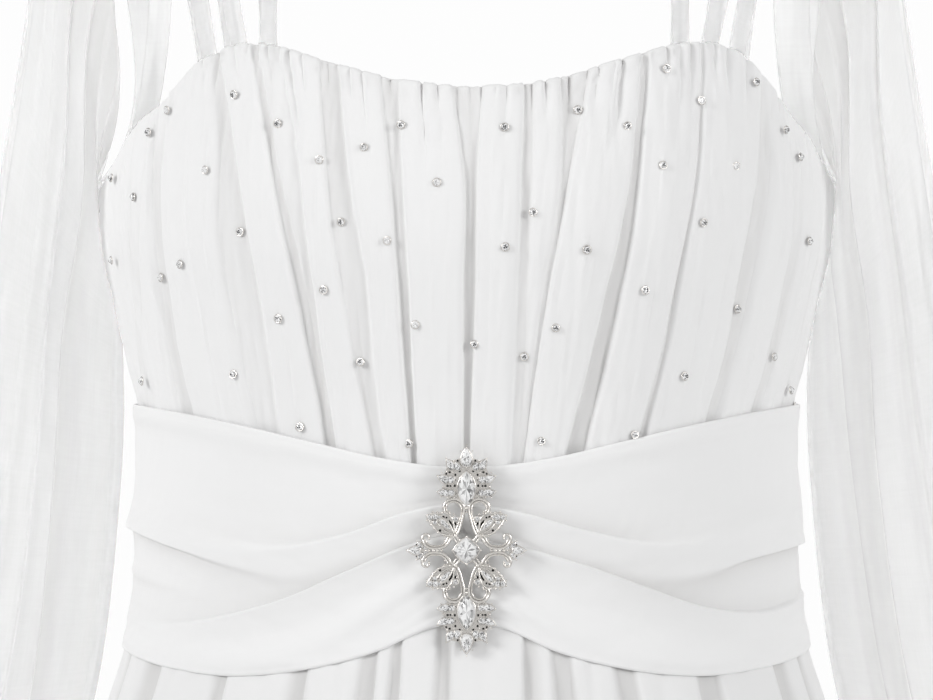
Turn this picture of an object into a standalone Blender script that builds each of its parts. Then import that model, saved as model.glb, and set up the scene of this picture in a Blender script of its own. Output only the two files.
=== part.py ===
"""Ball gown in white chiffon, filled out as worn, with nobody in it.

Metres, +Z up, the front faces -Y.  The origin is the middle of the shoulder line, where the
gown is held up.  Every panel is a thin wall through sections of one table of body sizes, and
its folds are rows of short tables: where each valley runs and how deep it is.
"""

import math

import bmesh
import bpy
import numpy as np

MM = 0.001

# Driving dimensions
CLOTH = 1.6 * MM
SEAM_GAP = 0.3 * MM
SEAM_ANGLE = 89.88
TUCK = 8.0 * MM
BODICE_INSET = 0.8 * MM
SKIRT_INSET = 1.15 * MM
BLEND_OUT = 14.0 * MM
BELOW_ALL = -2.0
ABOVE_ALL = 1.0

EDGE_GAP = 0.55 * MM
EDGE_ROLL_HEIGHT = 3.0 * MM
EDGE_ROLL_DEPTH = 2.2 * MM
EDGE_GATHERS = 38
EDGE_GATHER_SHARE = 0.22
EDGE_GATHER_ANGLE = 47.0
EDGE_END_ANGLE = 87.88
EDGE_PLAIN_COLUMNS = 11
EDGE_END_SIZE = 0.35
EDGE_CORNERS = ((-0.5, 0.0), (0.5, 0.0), (0.42, 0.7), (0.0, 1.0), (-0.42, 0.7))

STRAP_WIDTH = 7.6 * MM
STRAP_THICKNESS = 1.4 * MM
STRAP_FOOT = 6.0 * MM
STRAP_CLEARANCE = 0.9 * MM
FOOT_RADIUS = 141.0 * MM
STRAP_STEPS = 7
STRAP_RISE_REACH = 0.62
STRAP_TOP_REACH = 0.6
STRAP_FALL_REACH = 0.5
STRAP_TOP_LEAN = 4.0 * MM
STRAP_TAIL_LEAN = 1.0 * MM
SHOULDER_DEPTH = 6.0 * MM

STRIP_CORNERS = ((-0.5, -0.5), (0.5, -0.5), (0.5, 0.5), (-0.5, 0.5))

BAND_WIDTH = 9.0 * MM
BAND_THICKNESS = 1.2 * MM
BAND_COLUMNS = 32
ARMHOLE_MIDDLE = (5.0 * MM, -91.5 * MM)
ARMHOLE_HALF_DEPTH = 65.0 * MM
ARMHOLE_HALF_HEIGHT = 81.0 * MM

BROOCH_PLATE = 1.4 * MM
BROOCH_MIDDLE = -317.4 * MM
BROOCH_HALF_ANGLE = 11.0
BROOCH_HOLE_CORNERS = 12
MERGE_DISTANCE = 0.01 * MM
LOFT_SHARP_ANGLE = 40.0
STONE_SHARP_ANGLE = 5.0

# Millimetres: height, half width, depth to the front, depth to the back
BODY_SECTIONS = (
    (-105.0, 137.5, 94.0, 88.0),
    (-150.0, 144.0, 109.0, 94.0),
    (-182.0, 146.3, 115.0, 96.0),
    (-200.0, 144.7, 114.5, 95.5),
    (-220.0, 140.3, 110.5, 94.0),
    (-240.0, 136.0, 105.5, 92.0),
    (-262.0, 131.2, 100.0, 90.0),
    (-302.0, 129.7, 96.5, 91.0),
    (-334.0, 130.8, 98.0, 93.5),
    (-360.0, 136.2, 102.0, 98.0),
    (-380.0, 142.8, 108.5, 103.5),
    (-450.0, 167.0, 133.0, 126.0),
    (-600.0, 220.0, 186.0, 178.0),
    (-850.0, 310.0, 280.0, 272.0),
    (-1150.0, 415.0, 388.0, 380.0),
    (-1400.0, 500.0, 475.0, 468.0),
)

# Degrees round from the front middle, then the height of the front's upper edge in millimetres
FRONT_EDGE = (
    (-90.0, -177.0),
    (-78.0, -174.0),
    (-72.0, -166.0),
    (-66.0, -154.5),
    (-56.0, -143.0),
    (-48.0, -128.5),
    (-41.0, -122.6),
    (-35.0, -121.8),
    (-24.0, -128.1),
    (-12.0, -135.8),
    (0.0, -139.0),
    (12.0, -137.0),
    (25.0, -128.5),
    (36.0, -122.0),
    (43.0, -121.2),
    (50.0, -125.4),
    (56.0, -134.5),
    (61.0, -145.5),
    (70.0, -159.5),
    (80.0, -172.0),
    (90.0, -177.0),
)

# Degrees round from the back middle, then the height of the back's upper edge in millimetres
BACK_EDGE = (
    (-90.0, -178.5),
    (-75.0, -173.0),
    (-48.0, -161.0),
    (-24.0, -165.0),
    (0.0, -168.0),
    (24.0, -165.0),
    (48.0, -161.0),
    (75.0, -173.0),
    (90.0, -178.5),
)

# Degrees from the middle, upper edge and lower edge of the waistband in millimetres
WAISTBAND_EDGES = (
    (0.0, -285.5, -345.0),
    (6.0, -284.8, -347.6),
    (15.0, -281.8, -356.8),
    (25.0, -276.9, -363.0),
    (40.0, -270.2, -366.8),
    (57.0, -265.0, -364.6),
    (75.0, -262.4, -360.6),
    (90.0, -261.6, -358.0),
)

# Valleys of the gathered front: degrees at the waist, halfway and at the top, depth in millimetres
BODICE_FOLDS = (
    (-SEAM_ANGLE, -SEAM_ANGLE, -SEAM_ANGLE, 0.0),
    (-72.0, -67.0, -68.0, 1.8),
    (-54.0, -55.5, -56.5, 3.4),
    (-35.0, -38.0, -45.0, 3.0),
    (-25.0, -30.0, -37.0, 5.2),
    (-15.0, -19.5, -24.5, 4.4),
    (-9.0, -11.0, -14.0, 4.2),
    (0.0, 0.4, -1.0, 5.2),
    (10.0, 10.2, 9.0, 3.2),
    (15.5, 17.0, 18.5, 2.6),
    (20.5, 25.5, 30.0, 5.0),
    (33.0, 36.0, 40.5, 5.2),
    (47.0, 50.5, 56.0, 4.2),
    (62.0, 62.5, 68.0, 3.2),
    (SEAM_ANGLE, SEAM_ANGLE, SEAM_ANGLE, 0.0),
)

# Share of the height of a bodice panel, share of each fold's depth
BODICE_FOLD_GROWTH = ((0.0, 0.10), (0.12, 0.65), (0.45, 1.0), (0.80, 0.90), (0.95, 0.25), (1.0, 0.0))
BACK_FOLD_GROWTH = ((0.0, 0.15), (0.12, 0.8), (0.5, 1.0), (0.82, 0.7), (0.93, 0.0), (1.0, 0.0))
BODICE_LEVELS = (0.0, 0.06, 0.12, 0.26, 0.45, 0.62, 0.80, 0.95, 1.0)

# Where the columns lie between two valleys, as shares, and how round the ridges are
FRONT_COLUMNS = (0.0, 0.14, 0.5, 0.86)
BACK_COLUMNS = (0.0, 0.25, 0.75)
SKIRT_COLUMNS = (0.0, 0.2, 0.5, 0.8)
SLEEVE_COLUMNS = (0.0, 0.33, 0.67)
RIDGE_POWER = 0.6

# Valleys of the skirt's front: degrees at the waist and at the hem, share of the depth
SKIRT_FRONT_FOLDS = (
    (-SEAM_ANGLE, -SEAM_ANGLE, 0.0),
    (-77.0, -76.0, 0.8),
    (-65.0, -62.5, 0.9),
    (-43.5, -47.0, 1.1),
    (-30.0, -33.5, 0.9),
    (-16.5, -19.5, 1.1),
    (-4.5, -6.0, 1.0),
    (10.0, 8.0, 1.1),
    (16.0, 21.0, 0.9),
    (25.5, 34.0, 1.1),
    (42.0, 47.5, 1.1),
    (61.5, 62.0, 1.0),
    (73.0, 76.5, 0.8),
    (SEAM_ANGLE, SEAM_ANGLE, 0.0),
)

# The same for the skirt's back, counted from the back middle
SKIRT_BACK_FOLDS = (
    (-SEAM_ANGLE, -SEAM_ANGLE, 0.0),
    (-75.0, -76.0, 0.9),
    (-61.0, -62.0, 1.0),
    (-48.0, -49.0, 0.8),
    (-33.0, -34.5, 1.1),
    (-21.0, -20.5, 0.9),
    (-7.0, -7.5, 1.1),
    (6.0, 7.0, 0.9),
    (19.5, 20.0, 1.1),
    (34.0, 33.0, 1.0),
    (46.0, 48.0, 0.9),
    (62.0, 61.5, 1.0),
    (76.0, 76.5, 0.8),
    (SEAM_ANGLE, SEAM_ANGLE, 0.0),
)

# Height of a skirt section and the depth of its folds, in millimetres
SKIRT_FOLD_GROWTH = (
    (-345.0, 0.5),
    (-368.0, 1.2),
    (-385.0, 3.4),
    (-450.0, 8.0),
    (-600.0, 17.0),
    (-850.0, 28.0),
    (-1150.0, 38.0),
    (-1400.0, 44.0),
)
SKIRT_LEVELS = (0.0, 0.018, 0.045, 0.12, 0.26, 0.50, 0.76, 1.0)
HEM_HEIGHT = -1400.0 * MM

# Valleys of the gathered back: degrees from the back middle at the waist and at the top
BACK_GATHERS = 13
BACK_GATHER_DEPTH = 2.2 * MM
BACK_GATHER_SPREAD = 0.86

# Lines of the draped waistband, from its upper to its lower edge.  Each line gives its height at
# 0, 15, 35, 60 and 90 degrees from the middle as millimetres from the upper edge, and then how
# far it stands out at the same places.
DRAPE_ANGLES = (0.0, 15.0, 35.0, 60.0, 90.0)
DRAPE_LEFT = (
    (0.0, 0.0, 0.0, 0.0, 0.0, 1.9, 1.8, 1.7, 1.6, 1.6),
    (5.0, 7.0, 11.0, 16.0, 17.0, 3.4, 3.8, 3.2, 2.2, 1.8),
    (9.5, 17.0, 30.0, 35.0, 32.0, 4.6, 5.0, 4.4, 3.0, 2.2),
    (13.5, 24.5, 43.5, 45.0, 39.5, 5.8, 6.2, 5.8, 4.8, 3.2),
    (18.5, 30.5, 52.5, 50.0, 47.5, 2.2, 2.4, 2.2, 1.8, 1.7),
    (23.5, 35.5, 57.0, 62.0, 60.0, 4.2, 4.0, 3.0, 3.0, 2.6),
    (28.5, 39.5, 64.5, 82.0, 82.0, 5.8, 6.2, 6.0, 5.0, 3.4),
    (36.5, 48.5, 74.0, 89.0, 88.0, 2.4, 2.4, 2.6, 2.4, 2.0),
    (47.0, 61.0, 85.0, 95.0, 93.0, 3.8, 3.6, 3.2, 2.4, 2.0),
    (59.5, 75.0, 94.5, 100.0, 96.4, 1.9, 1.8, 1.7, 1.6, 1.6),
)
DRAPE_RIGHT = (
    (0.0, 0.0, 0.0, 0.0, 0.0, 1.9, 1.8, 1.7, 1.6, 1.6),
    (5.0, 7.0, 11.0, 16.0, 18.0, 3.4, 3.8, 3.2, 2.2, 1.8),
    (9.5, 17.0, 30.0, 34.0, 36.0, 4.6, 5.0, 4.2, 3.2, 2.4),
    (13.5, 24.5, 42.0, 46.5, 45.5, 5.8, 6.2, 5.8, 4.8, 3.4),
    (18.5, 30.0, 53.0, 56.5, 54.0, 2.2, 2.4, 2.2, 1.8, 1.7),
    (23.5, 34.0, 57.5, 66.0, 62.0, 4.2, 4.0, 3.0, 3.0, 2.6),
    (28.5, 37.5, 61.5, 77.0, 72.0, 5.8, 6.2, 6.0, 5.0, 3.4),
    (36.5, 48.5, 72.0, 84.0, 82.0, 2.4, 2.4, 2.6, 2.4, 2.0),
    (47.0, 61.0, 84.0, 92.0, 89.5, 3.8, 3.6, 3.2, 2.4, 2.0),
    (59.5, 75.0, 94.5, 100.0, 96.4, 1.9, 1.8, 1.7, 1.6, 1.6),
)
DRAPE_COLUMNS = 40
DRAPE_ROWS = 13
BACK_BAND_COLUMNS = 24
BACK_BAND_LIFTS = (1.6, 2.8, 1.8, 3.0, 1.9, 1.6)

# Rings of the left sleeve in millimetres: outer point across and height, inner point across and
# height, middle and half of the depth from front to back, cut towards the neck, depth of the folds
SLEEVE_RINGS = (
    (-146.8, -12.0, -148.4, -173.6, 5.0, 65.0, 28.0, 0.0),
    (-155.0, -15.5, -150.4, -177.0, 8.0, 65.5, 21.0, 0.6),
    (-164.0, -27.0, -151.2, -183.5, 12.0, 66.0, 15.0, 1.2),
    (-171.0, -52.0, -151.4, -192.0, 17.0, 66.0, 10.0, 1.8),
    (-176.6, -100.0, -150.2, -203.0, 23.0, 65.0, 6.0, 2.2),
    (-186.6, -159.0, -147.0, -220.0, 29.0, 64.0, 3.0, 2.6),
    (-196.0, -215.0, -142.4, -243.0, 34.0, 63.0, 0.0, 3.0),
    (-207.0, -282.0, -142.2, -292.0, 38.0, 64.0, 0.0, 3.4),
    (-225.0, -376.0, -151.0, -372.0, 42.0, 64.0, 0.0, 3.8),
    (-250.0, -460.0, -171.0, -448.0, 45.0, 64.0, 0.0, 4.2),
    (-277.0, -535.0, -195.0, -516.0, 45.0, 66.0, 0.0, 4.8),
    (-308.0, -610.0, -225.5, -586.0, 45.0, 70.0, 0.0, 5.6),
)

# Degrees round the sleeve from its outer side over the front
SLEEVE_FOLDS = (14.0, 48.0, 83.0, 116.0, 148.0, 196.0, 238.0, 282.0, 326.0)

# How far the armhole band is cut in towards the neck, in millimetres, and the share at the back
ARMHOLE_LEFT = {"side": -1.0, "scoop": 62.0}
ARMHOLE_RIGHT = {"side": 1.0, "scoop": 31.0}
BACK_SCOOP_SHARE = 0.45
ARMHOLE_TOP = 137.0 * MM
ARMHOLE_UNDER = 138.6 * MM

# Straps: name, side, degrees at the front foot, lean outwards, shoulder across, shoulder height,
# degrees at the back foot; millimetres but for the degrees and the lean
STRAPS = (
    ("strap_left_inner", -1.0, 34.5, 0.05, 86.0, -4.0, 36.0),
    ("strap_left_middle", -1.0, 40.0, 0.32, 118.0, -8.0, 43.5),
    ("strap_left_outer", -1.0, 46.5, 0.30, 132.5, -12.0, 51.0),
    ("strap_right_inner", 1.0, 37.5, 0.08, 92.0, -4.0, 36.0),
    ("strap_right_middle", 1.0, 43.6, 0.36, 120.0, -8.0, 43.5),
    ("strap_right_outer", 1.0, 49.8, 0.34, 132.5, -12.0, 51.0),
)

COLOURS = {
    "chiffon": (0.86, 0.86, 0.855, 1.0),
    "lining cloth": (0.84, 0.84, 0.835, 1.0),
    "silver": (0.72, 0.71, 0.69, 1.0),
    "crystal": (0.90, 0.92, 0.94, 1.0),
}


def material(name, colour, roughness, metallic):
    finish = bpy.data.materials.new(name)
    finish.use_nodes = True
    shader = finish.node_tree.nodes["Principled BSDF"]
    shader.inputs["Base Color"].default_value = colour
    shader.inputs["Roughness"].default_value = roughness
    shader.inputs["Metallic"].default_value = metallic
    return finish


def column(table, index):
    """One column of a table as an array."""
    return np.array([row[index] for row in table])


def smooth(places, known_places, known_values):
    """A smooth curve through known values: cubic pieces whose slopes are those of the neighbours."""
    x = np.asarray(known_places, float)
    y = np.asarray(known_values, float)
    if x[0] > x[-1]:
        x = x[::-1]
        y = y[::-1]
    slope = np.gradient(y, x)
    places = np.clip(places, x[0], x[-1])
    piece = np.clip(np.searchsorted(x, places, side="right") - 1, 0, len(x) - 2)
    width = x[piece + 1] - x[piece]
    t = (places - x[piece]) / width
    start = y[piece] * (2 * t**3 - 3 * t**2 + 1) + slope[piece] * width * (t**3 - 2 * t**2 + t)
    end = y[piece + 1] * (3 * t**2 - 2 * t**3) + slope[piece + 1] * width * (t**3 - t**2)
    return start + end


def body_point(degrees, height, lift):
    """A place on the body's form, moved out by lift; 0 degrees is the front middle, +90 is +X."""
    heights = column(BODY_SECTIONS, 0) * MM
    angle = np.radians(degrees)
    half_width = smooth(height, heights, column(BODY_SECTIONS, 1) * MM)
    front = smooth(height, heights, column(BODY_SECTIONS, 2) * MM)
    back = smooth(height, heights, column(BODY_SECTIONS, 3) * MM)
    depth = np.where(np.cos(angle) > 0.0, front, back)
    x = (half_width + lift) * np.sin(angle)
    y = -(depth + lift) * np.cos(angle)
    return np.stack([x, y, height + 0.0 * x], axis=-1)


def fold_shape(share):
    """Height of a fold from one valley (share 0) over its round ridge to the next (share 1)."""
    return np.sin(np.pi * share) ** RIDGE_POWER


def fan(valleys, depths, shares):
    """Columns between neighbouring valleys: their angles, and how far each lies below the ridges.

    valleys holds one row for each level and one column for each valley; shares says where the
    columns lie between two valleys.  The depth of a column goes evenly from one valley's to the
    next one's, and the ridge between them takes it away.
    """
    angles = []
    sinks = []
    for number in range(valleys.shape[1] - 1):
        for share in shares:
            angles.append(valleys[:, number] * (1 - share) + valleys[:, number + 1] * share)
            depth = depths[number] * (1 - share) + depths[number + 1] * share
            sinks.append(depth * (1 - fold_shape(np.array(share))))
    angles.append(valleys[:, -1])
    sinks.append(depths[-1])
    return np.stack(angles, axis=1), np.array(sinks)


def mesh_object(name, vertices, faces, finish, collection):
    mesh = bpy.data.meshes.new(name)
    mesh.from_pydata([tuple(vertex) for vertex in vertices], [], faces)
    mesh.materials.append(finish)
    made = bpy.data.objects.new(name, mesh)
    collection.objects.link(made)
    return made


def face_outwards(made):
    cleaner = bmesh.new()
    cleaner.from_mesh(made.data)
    bmesh.ops.recalc_face_normals(cleaner, faces=cleaner.faces)
    cleaner.to_mesh(made.data)
    cleaner.free()


def wall(name, points, closed, thickness, finish, collection):
    """A cloth wall on a grid of points (rows, columns, 3); closed joins the last column to the first."""
    rows, columns = points.shape[:2]
    faces = []
    for row in range(rows - 1):
        for place in range(columns if closed else columns - 1):
            after = (place + 1) % columns
            low = row * columns
            high = low + columns
            faces.append((low + place, low + after, high + after, high + place))
    made = mesh_object(name, points.reshape(-1, 3), faces, finish, collection)
    thicken = made.modifiers.new("cloth thickness", "SOLIDIFY")
    thicken.thickness = thickness
    thicken.offset = 0.0
    made.data.shade_smooth()
    return made


def loft(name, sections, ring, finish, collection):
    """A closed body through sections (count, corners, 3); ring joins the last section to the first."""
    count, corners = sections.shape[:2]
    faces = []
    for number in range(count if ring else count - 1):
        after = (number + 1) % count
        for corner in range(corners):
            beside = (corner + 1) % corners
            faces.append((number * corners + corner, number * corners + beside,
                          after * corners + beside, after * corners + corner))
    if not ring:
        faces.append(tuple(range(corners)))
        faces.append(tuple(range((count - 1) * corners, count * corners)))
    made = mesh_object(name, sections.reshape(-1, 3), faces, finish, collection)
    face_outwards(made)
    made.data.shade_smooth()
    made.data.set_sharp_from_angle(angle=math.radians(LOFT_SHARP_ANGLE))
    return made


def waistband_edge(degrees, index):
    """Height of the waistband's upper (index 1) or lower (index 2) edge."""
    table = column(WAISTBAND_EDGES, 0)
    return smooth(np.abs(degrees), table, column(WAISTBAND_EDGES, index) * MM)


def tucked(height, upper_limit, lower_limit, inset):
    """How far a panel lies inside the body's form so that it passes under the waistband."""
    below = np.clip((upper_limit + BLEND_OUT - height) / BLEND_OUT, 0.0, 1.0)
    above = np.clip((height - lower_limit + BLEND_OUT) / BLEND_OUT, 0.0, 1.0)
    share = np.minimum(below, above)
    return -inset * share * share * (3 - 2 * share)


def front_grid():
    """The gathered front: the angles of its upper edge, and its points from the waist up."""
    levels = np.array(BODICE_LEVELS)
    waist, middle, top, depths = (column(BODICE_FOLDS, index) for index in range(4))
    valleys = np.stack([smooth(levels, [0.0, 0.5, 1.0], knots) for knots in zip(waist, middle, top)], axis=1)
    degrees, sinks = fan(valleys, depths * MM, FRONT_COLUMNS)
    growth = smooth(levels, column(BODICE_FOLD_GROWTH, 0), column(BODICE_FOLD_GROWTH, 1))
    upper = smooth(degrees, column(FRONT_EDGE, 0), column(FRONT_EDGE, 1) * MM)
    band_top = waistband_edge(degrees, 1)
    lower = band_top - TUCK
    height = lower + (upper - lower) * levels[:, None]
    lift = tucked(height, band_top, BELOW_ALL, BODICE_INSET) - growth[:, None] * sinks[None, :]
    return degrees[-1], body_point(degrees, height, lift)


def bodice_front(finish, collection):
    wall("bodice_front", front_grid()[1], False, CLOTH, finish, collection)


def back_gather_lines(levels, count, spread):
    """Evenly spread valleys of the gathered back, drawn towards the middle at the waist."""
    top = np.linspace(-SEAM_ANGLE, SEAM_ANGLE, count + 2)
    waist = top * (spread + (1 - spread) * np.abs(top) / SEAM_ANGLE)
    return waist[None, :] * (1 - levels[:, None]) + top[None, :] * levels[:, None]


def bodice_back(finish, collection):
    levels = column(BACK_FOLD_GROWTH, 0)
    valleys = back_gather_lines(levels, BACK_GATHERS, BACK_GATHER_SPREAD)
    depths = np.full(BACK_GATHERS + 2, BACK_GATHER_DEPTH)
    depths[[0, -1]] = 0.0
    degrees, sinks = fan(valleys, depths, BACK_COLUMNS)
    growth = column(BACK_FOLD_GROWTH, 1)
    upper = smooth(degrees, column(BACK_EDGE, 0), column(BACK_EDGE, 1) * MM)
    band_top = waistband_edge(90.0 + 0.0 * degrees, 1)
    lower = band_top - TUCK
    height = lower + (upper - lower) * levels[:, None]
    lift = tucked(height, band_top, BELOW_ALL, BODICE_INSET) - growth[:, None] * sinks[None, :]
    wall("bodice_back", body_point(degrees + 180.0, height, lift), False, CLOTH, finish, collection)


def neckline_edge(finish, collection):
    """A narrow roll on the front's upper edge, drawn up into small gathers between its corners."""
    gather_step = 2 * EDGE_GATHER_ANGLE / EDGE_GATHERS
    gathered = np.linspace(-EDGE_GATHER_ANGLE, EDGE_GATHER_ANGLE, 3 * EDGE_GATHERS + 1)
    plain = np.linspace(EDGE_GATHER_ANGLE + gather_step, EDGE_END_ANGLE, EDGE_PLAIN_COLUMNS)
    degrees = np.concatenate([-plain[::-1], gathered, plain])
    panel_degrees, panel = front_grid()
    edge = np.stack([np.interp(degrees, panel_degrees, panel[-1, :, axis]) for axis in range(3)], axis=1)
    below = np.stack([np.interp(degrees, panel_degrees, panel[-2, :, axis]) for axis in range(3)], axis=1)
    along = np.gradient(edge, axis=0)
    along /= np.linalg.norm(along, axis=1, keepdims=True)
    out = np.cross(along, edge - below)
    out /= np.linalg.norm(out, axis=1, keepdims=True)
    up = np.cross(out, along)
    inside = np.abs(degrees) < EDGE_GATHER_ANGLE
    place = (degrees + EDGE_GATHER_ANGLE) / gather_step
    puff = np.where(inside, np.abs(np.sin(np.pi * place)), 0.5)
    size = 1.0 - EDGE_GATHER_SHARE + 2 * EDGE_GATHER_SHARE * puff
    fade = np.clip((SEAM_ANGLE - np.abs(degrees)) / (SEAM_ANGLE - EDGE_GATHER_ANGLE), EDGE_END_SIZE, 1.0)
    tall = EDGE_ROLL_HEIGHT * size * np.sqrt(fade)
    deep = EDGE_ROLL_DEPTH * (1.0 - EDGE_GATHER_SHARE + EDGE_GATHER_SHARE * puff)
    sections = []
    for side, rise in EDGE_CORNERS:
        sections.append(edge + up * (EDGE_GAP + rise * tall)[:, None] + out * (side * deep)[:, None])
    loft("neckline_edge", np.stack(sections, axis=1), False, finish, collection)


def bezier(points, steps):
    """Cubic Bezier curve through four control points."""
    t = np.linspace(0.0, 1.0, steps)[:, None]
    a, b, c, d = (np.asarray(point, float) for point in points)
    return a * (1 - t)**3 + 3 * b * t * (1 - t)**2 + 3 * c * t**2 * (1 - t) + d * t**3


def strap(name, side, foot_angle, lean, shoulder, rise, back_angle, finish, collection):
    """A flat strip from behind the front edge, over the shoulder, to behind the back edge."""
    inset = -(0.5 * EDGE_ROLL_DEPTH + STRAP_CLEARANCE + 0.5 * STRAP_THICKNESS)
    angle = side * foot_angle
    edge = float(smooth(np.array([angle]), column(FRONT_EDGE, 0), column(FRONT_EDGE, 1) * MM)[0])
    climb = np.array([-STRAP_FOOT, 0.0, STRAP_FOOT])
    swing = np.degrees(lean * climb / (FOOT_RADIUS * math.cos(math.radians(angle))))
    foot = body_point(angle + side * swing, edge + climb, inset)
    back_inset = -(0.5 * CLOTH + STRAP_CLEARANCE + 0.5 * STRAP_THICKNESS)
    back_turn = 180.0 - side * back_angle
    back_edge = smooth(np.array([180.0 - back_turn]), column(BACK_EDGE, 0), column(BACK_EDGE, 1) * MM)[0]
    tail = body_point(np.full(3, back_turn), back_edge + climb[::-1], back_inset)
    top = np.array([side * shoulder * MM, SHOULDER_DEPTH, rise * MM])
    start = foot[-1]
    reach = STRAP_RISE_REACH * (top[2] - start[2])
    heading = (foot[-1] - foot[-2]) / np.linalg.norm(foot[-1] - foot[-2])
    before_top = np.array([-side * STRAP_TOP_LEAN, -STRAP_TOP_REACH * (top[1] - start[1]), 0.0])
    rising = bezier((start, start + heading * reach, top + before_top, top), STRAP_STEPS)
    end = tail[0]
    after_top = np.array([side * STRAP_TAIL_LEAN, STRAP_TOP_REACH * (end[1] - top[1]), 0.0])
    before_end = np.array([0.0, 0.0, STRAP_FALL_REACH * (top[2] - end[2])])
    falling = bezier((top, top + after_top, end + before_end, end), STRAP_STEPS)
    path = np.concatenate([foot[:-1], rising, falling[1:], tail[1:]])
    along = np.gradient(path, axis=0)
    along /= np.linalg.norm(along, axis=1, keepdims=True)
    front_across = body_point(angle + 1.0, edge, 0.0) - body_point(angle - 1.0, edge, 0.0)
    back_across = body_point(back_turn - 1.0, back_edge, 0.0) - body_point(back_turn + 1.0, back_edge, 0.0)
    over = np.clip((path[:, 2] - start[2]) / (top[2] - start[2]), 0.0, 1.0)[:, None]
    at_front = (np.arange(len(path)) < len(path) // 2)[:, None]
    across = np.where(at_front, front_across / np.linalg.norm(front_across),
                      back_across / np.linalg.norm(back_across))
    across = across * (1 - over) + np.array([1.0, 0.0, 0.0]) * over
    across -= along * np.sum(across * along, axis=1, keepdims=True)
    across /= np.linalg.norm(across, axis=1, keepdims=True)
    face = np.cross(along, across)
    sections = []
    for wide, thick in STRIP_CORNERS:
        sections.append(path + across * wide * STRAP_WIDTH + face * thick * STRAP_THICKNESS)
    loft(name, np.stack(sections, axis=1), False, finish, collection)


def scoop_share(turn):
    """Share of the armhole's cut towards the neck, most where it is low on the front and the back.

    The turn is 0 at the armhole's top, a quarter round at its front and half round at the underarm.
    """
    lowness = (1 - np.cos(turn)) / 2
    side_share = np.where(np.sin(turn) > 0.0, 1.0, BACK_SCOOP_SHARE)
    return side_share * np.sin(turn)**2 * lowness**2


def armhole_ring(around, inner, scoop, side, puff):
    """A ring round the armhole: top at 0 degrees, front at 90, underarm at 180."""
    turn = np.radians(around)
    across = inner - scoop * scoop_share(turn)
    y = ARMHOLE_MIDDLE[0] - (ARMHOLE_HALF_DEPTH + puff) * np.sin(turn)
    z = ARMHOLE_MIDDLE[1] + (ARMHOLE_HALF_HEIGHT + puff) * np.cos(turn)
    return np.stack([side * across, y, z], axis=-1)


def armhole_band(name, armhole, finish, collection):
    around = np.linspace(0.0, 360.0, BAND_COLUMNS, endpoint=False)
    blend = (1 - np.cos(np.radians(around))) / 2
    inner = ARMHOLE_TOP * (1 - blend) + ARMHOLE_UNDER * blend
    scoop = armhole["scoop"] * MM
    sections = []
    for wide, thick in STRIP_CORNERS:
        across = inner + (0.5 + wide) * BAND_WIDTH
        sections.append(armhole_ring(around, across, scoop, armhole["side"], thick * BAND_THICKNESS))
    loft(name, np.stack(sections, axis=1), True, finish, collection)


def sleeve_points(side, rings, shares):
    """Rings of the sleeve, each an ellipse from its outer to its inner point, with its folds."""
    valleys = np.array(SLEEVE_FOLDS)
    ends = np.append(valleys, valleys[0] + 360.0)
    around = np.concatenate([ends[:-1] * (1 - share) + ends[1:] * share for share in shares])
    sink = np.concatenate([np.full(len(valleys), 1 - fold_shape(np.array(share))) for share in shares])
    order = np.argsort(around)
    turn = np.radians(around[order])
    sink = sink[order]
    levels = []
    for outer_x, outer_z, inner_x, inner_z, middle, half_depth, lean, fold in rings:
        outer = np.array([outer_x, 0.0, outer_z])
        inner = np.array([inner_x, 0.0, inner_z])
        centre = (outer + inner) / 2 + np.array([0.0, middle, 0.0])
        half = (outer - inner) / 2
        length = np.linalg.norm(half)
        out = half / length
        front = np.array([0.0, -1.0, 0.0])
        ring = centre + np.outer(np.cos(turn) * length, out) + np.outer(np.sin(turn) * half_depth, front)
        normal = np.outer(np.cos(turn) / length, out) + np.outer(np.sin(turn) / half_depth, front)
        normal /= np.linalg.norm(normal, axis=1, keepdims=True)
        ring -= normal * (fold * sink)[:, None]
        ring[:, 0] += lean * scoop_share(turn)
        levels.append(ring * MM)
    points = np.stack(levels)
    if side > 0:
        points[..., 0] *= -1.0
        points = points[:, ::-1]
    return points[::-1]


def sleeve(name, armhole, finish, collection):
    points = sleeve_points(armhole["side"], SLEEVE_RINGS, SLEEVE_COLUMNS)
    wall(name, points, True, CLOTH, finish, collection)


def drape_points(degrees, rows):
    """Points of the draped waistband: smooth curves across its lines, at each angle."""
    places = np.linspace(0.0, 1.0, len(DRAPE_LEFT))
    heights = []
    lifts = []
    for line_left, line_right in zip(DRAPE_LEFT, DRAPE_RIGHT):
        left_drop = smooth(np.abs(degrees), DRAPE_ANGLES, line_left[:5])
        right_drop = smooth(np.abs(degrees), DRAPE_ANGLES, line_right[:5])
        left_lift = smooth(np.abs(degrees), DRAPE_ANGLES, line_left[5:])
        right_lift = smooth(np.abs(degrees), DRAPE_ANGLES, line_right[5:])
        heights.append(np.where(degrees < 0.0, left_drop, right_drop))
        lifts.append(np.where(degrees < 0.0, left_lift, right_lift))
    heights = np.array(heights) / np.array(heights)[-1]
    upper = waistband_edge(degrees, 1)
    lower = waistband_edge(degrees, 2)
    share = np.stack([smooth(rows, places, heights[:, place]) for place in range(len(degrees))], axis=1)
    lift = np.stack([smooth(rows, places, np.array(lifts)[:, place]) for place in range(len(degrees))], axis=1)
    height = upper + (lower - upper) * share
    return body_point(np.broadcast_to(degrees, height.shape), height, lift * MM)


def waistband_front(finish, collection):
    degrees = np.linspace(-SEAM_ANGLE, SEAM_ANGLE, DRAPE_COLUMNS + 1)
    points = drape_points(degrees, np.linspace(1.0, 0.0, DRAPE_ROWS))
    wall("waistband_front", points, False, CLOTH, finish, collection)


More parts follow.
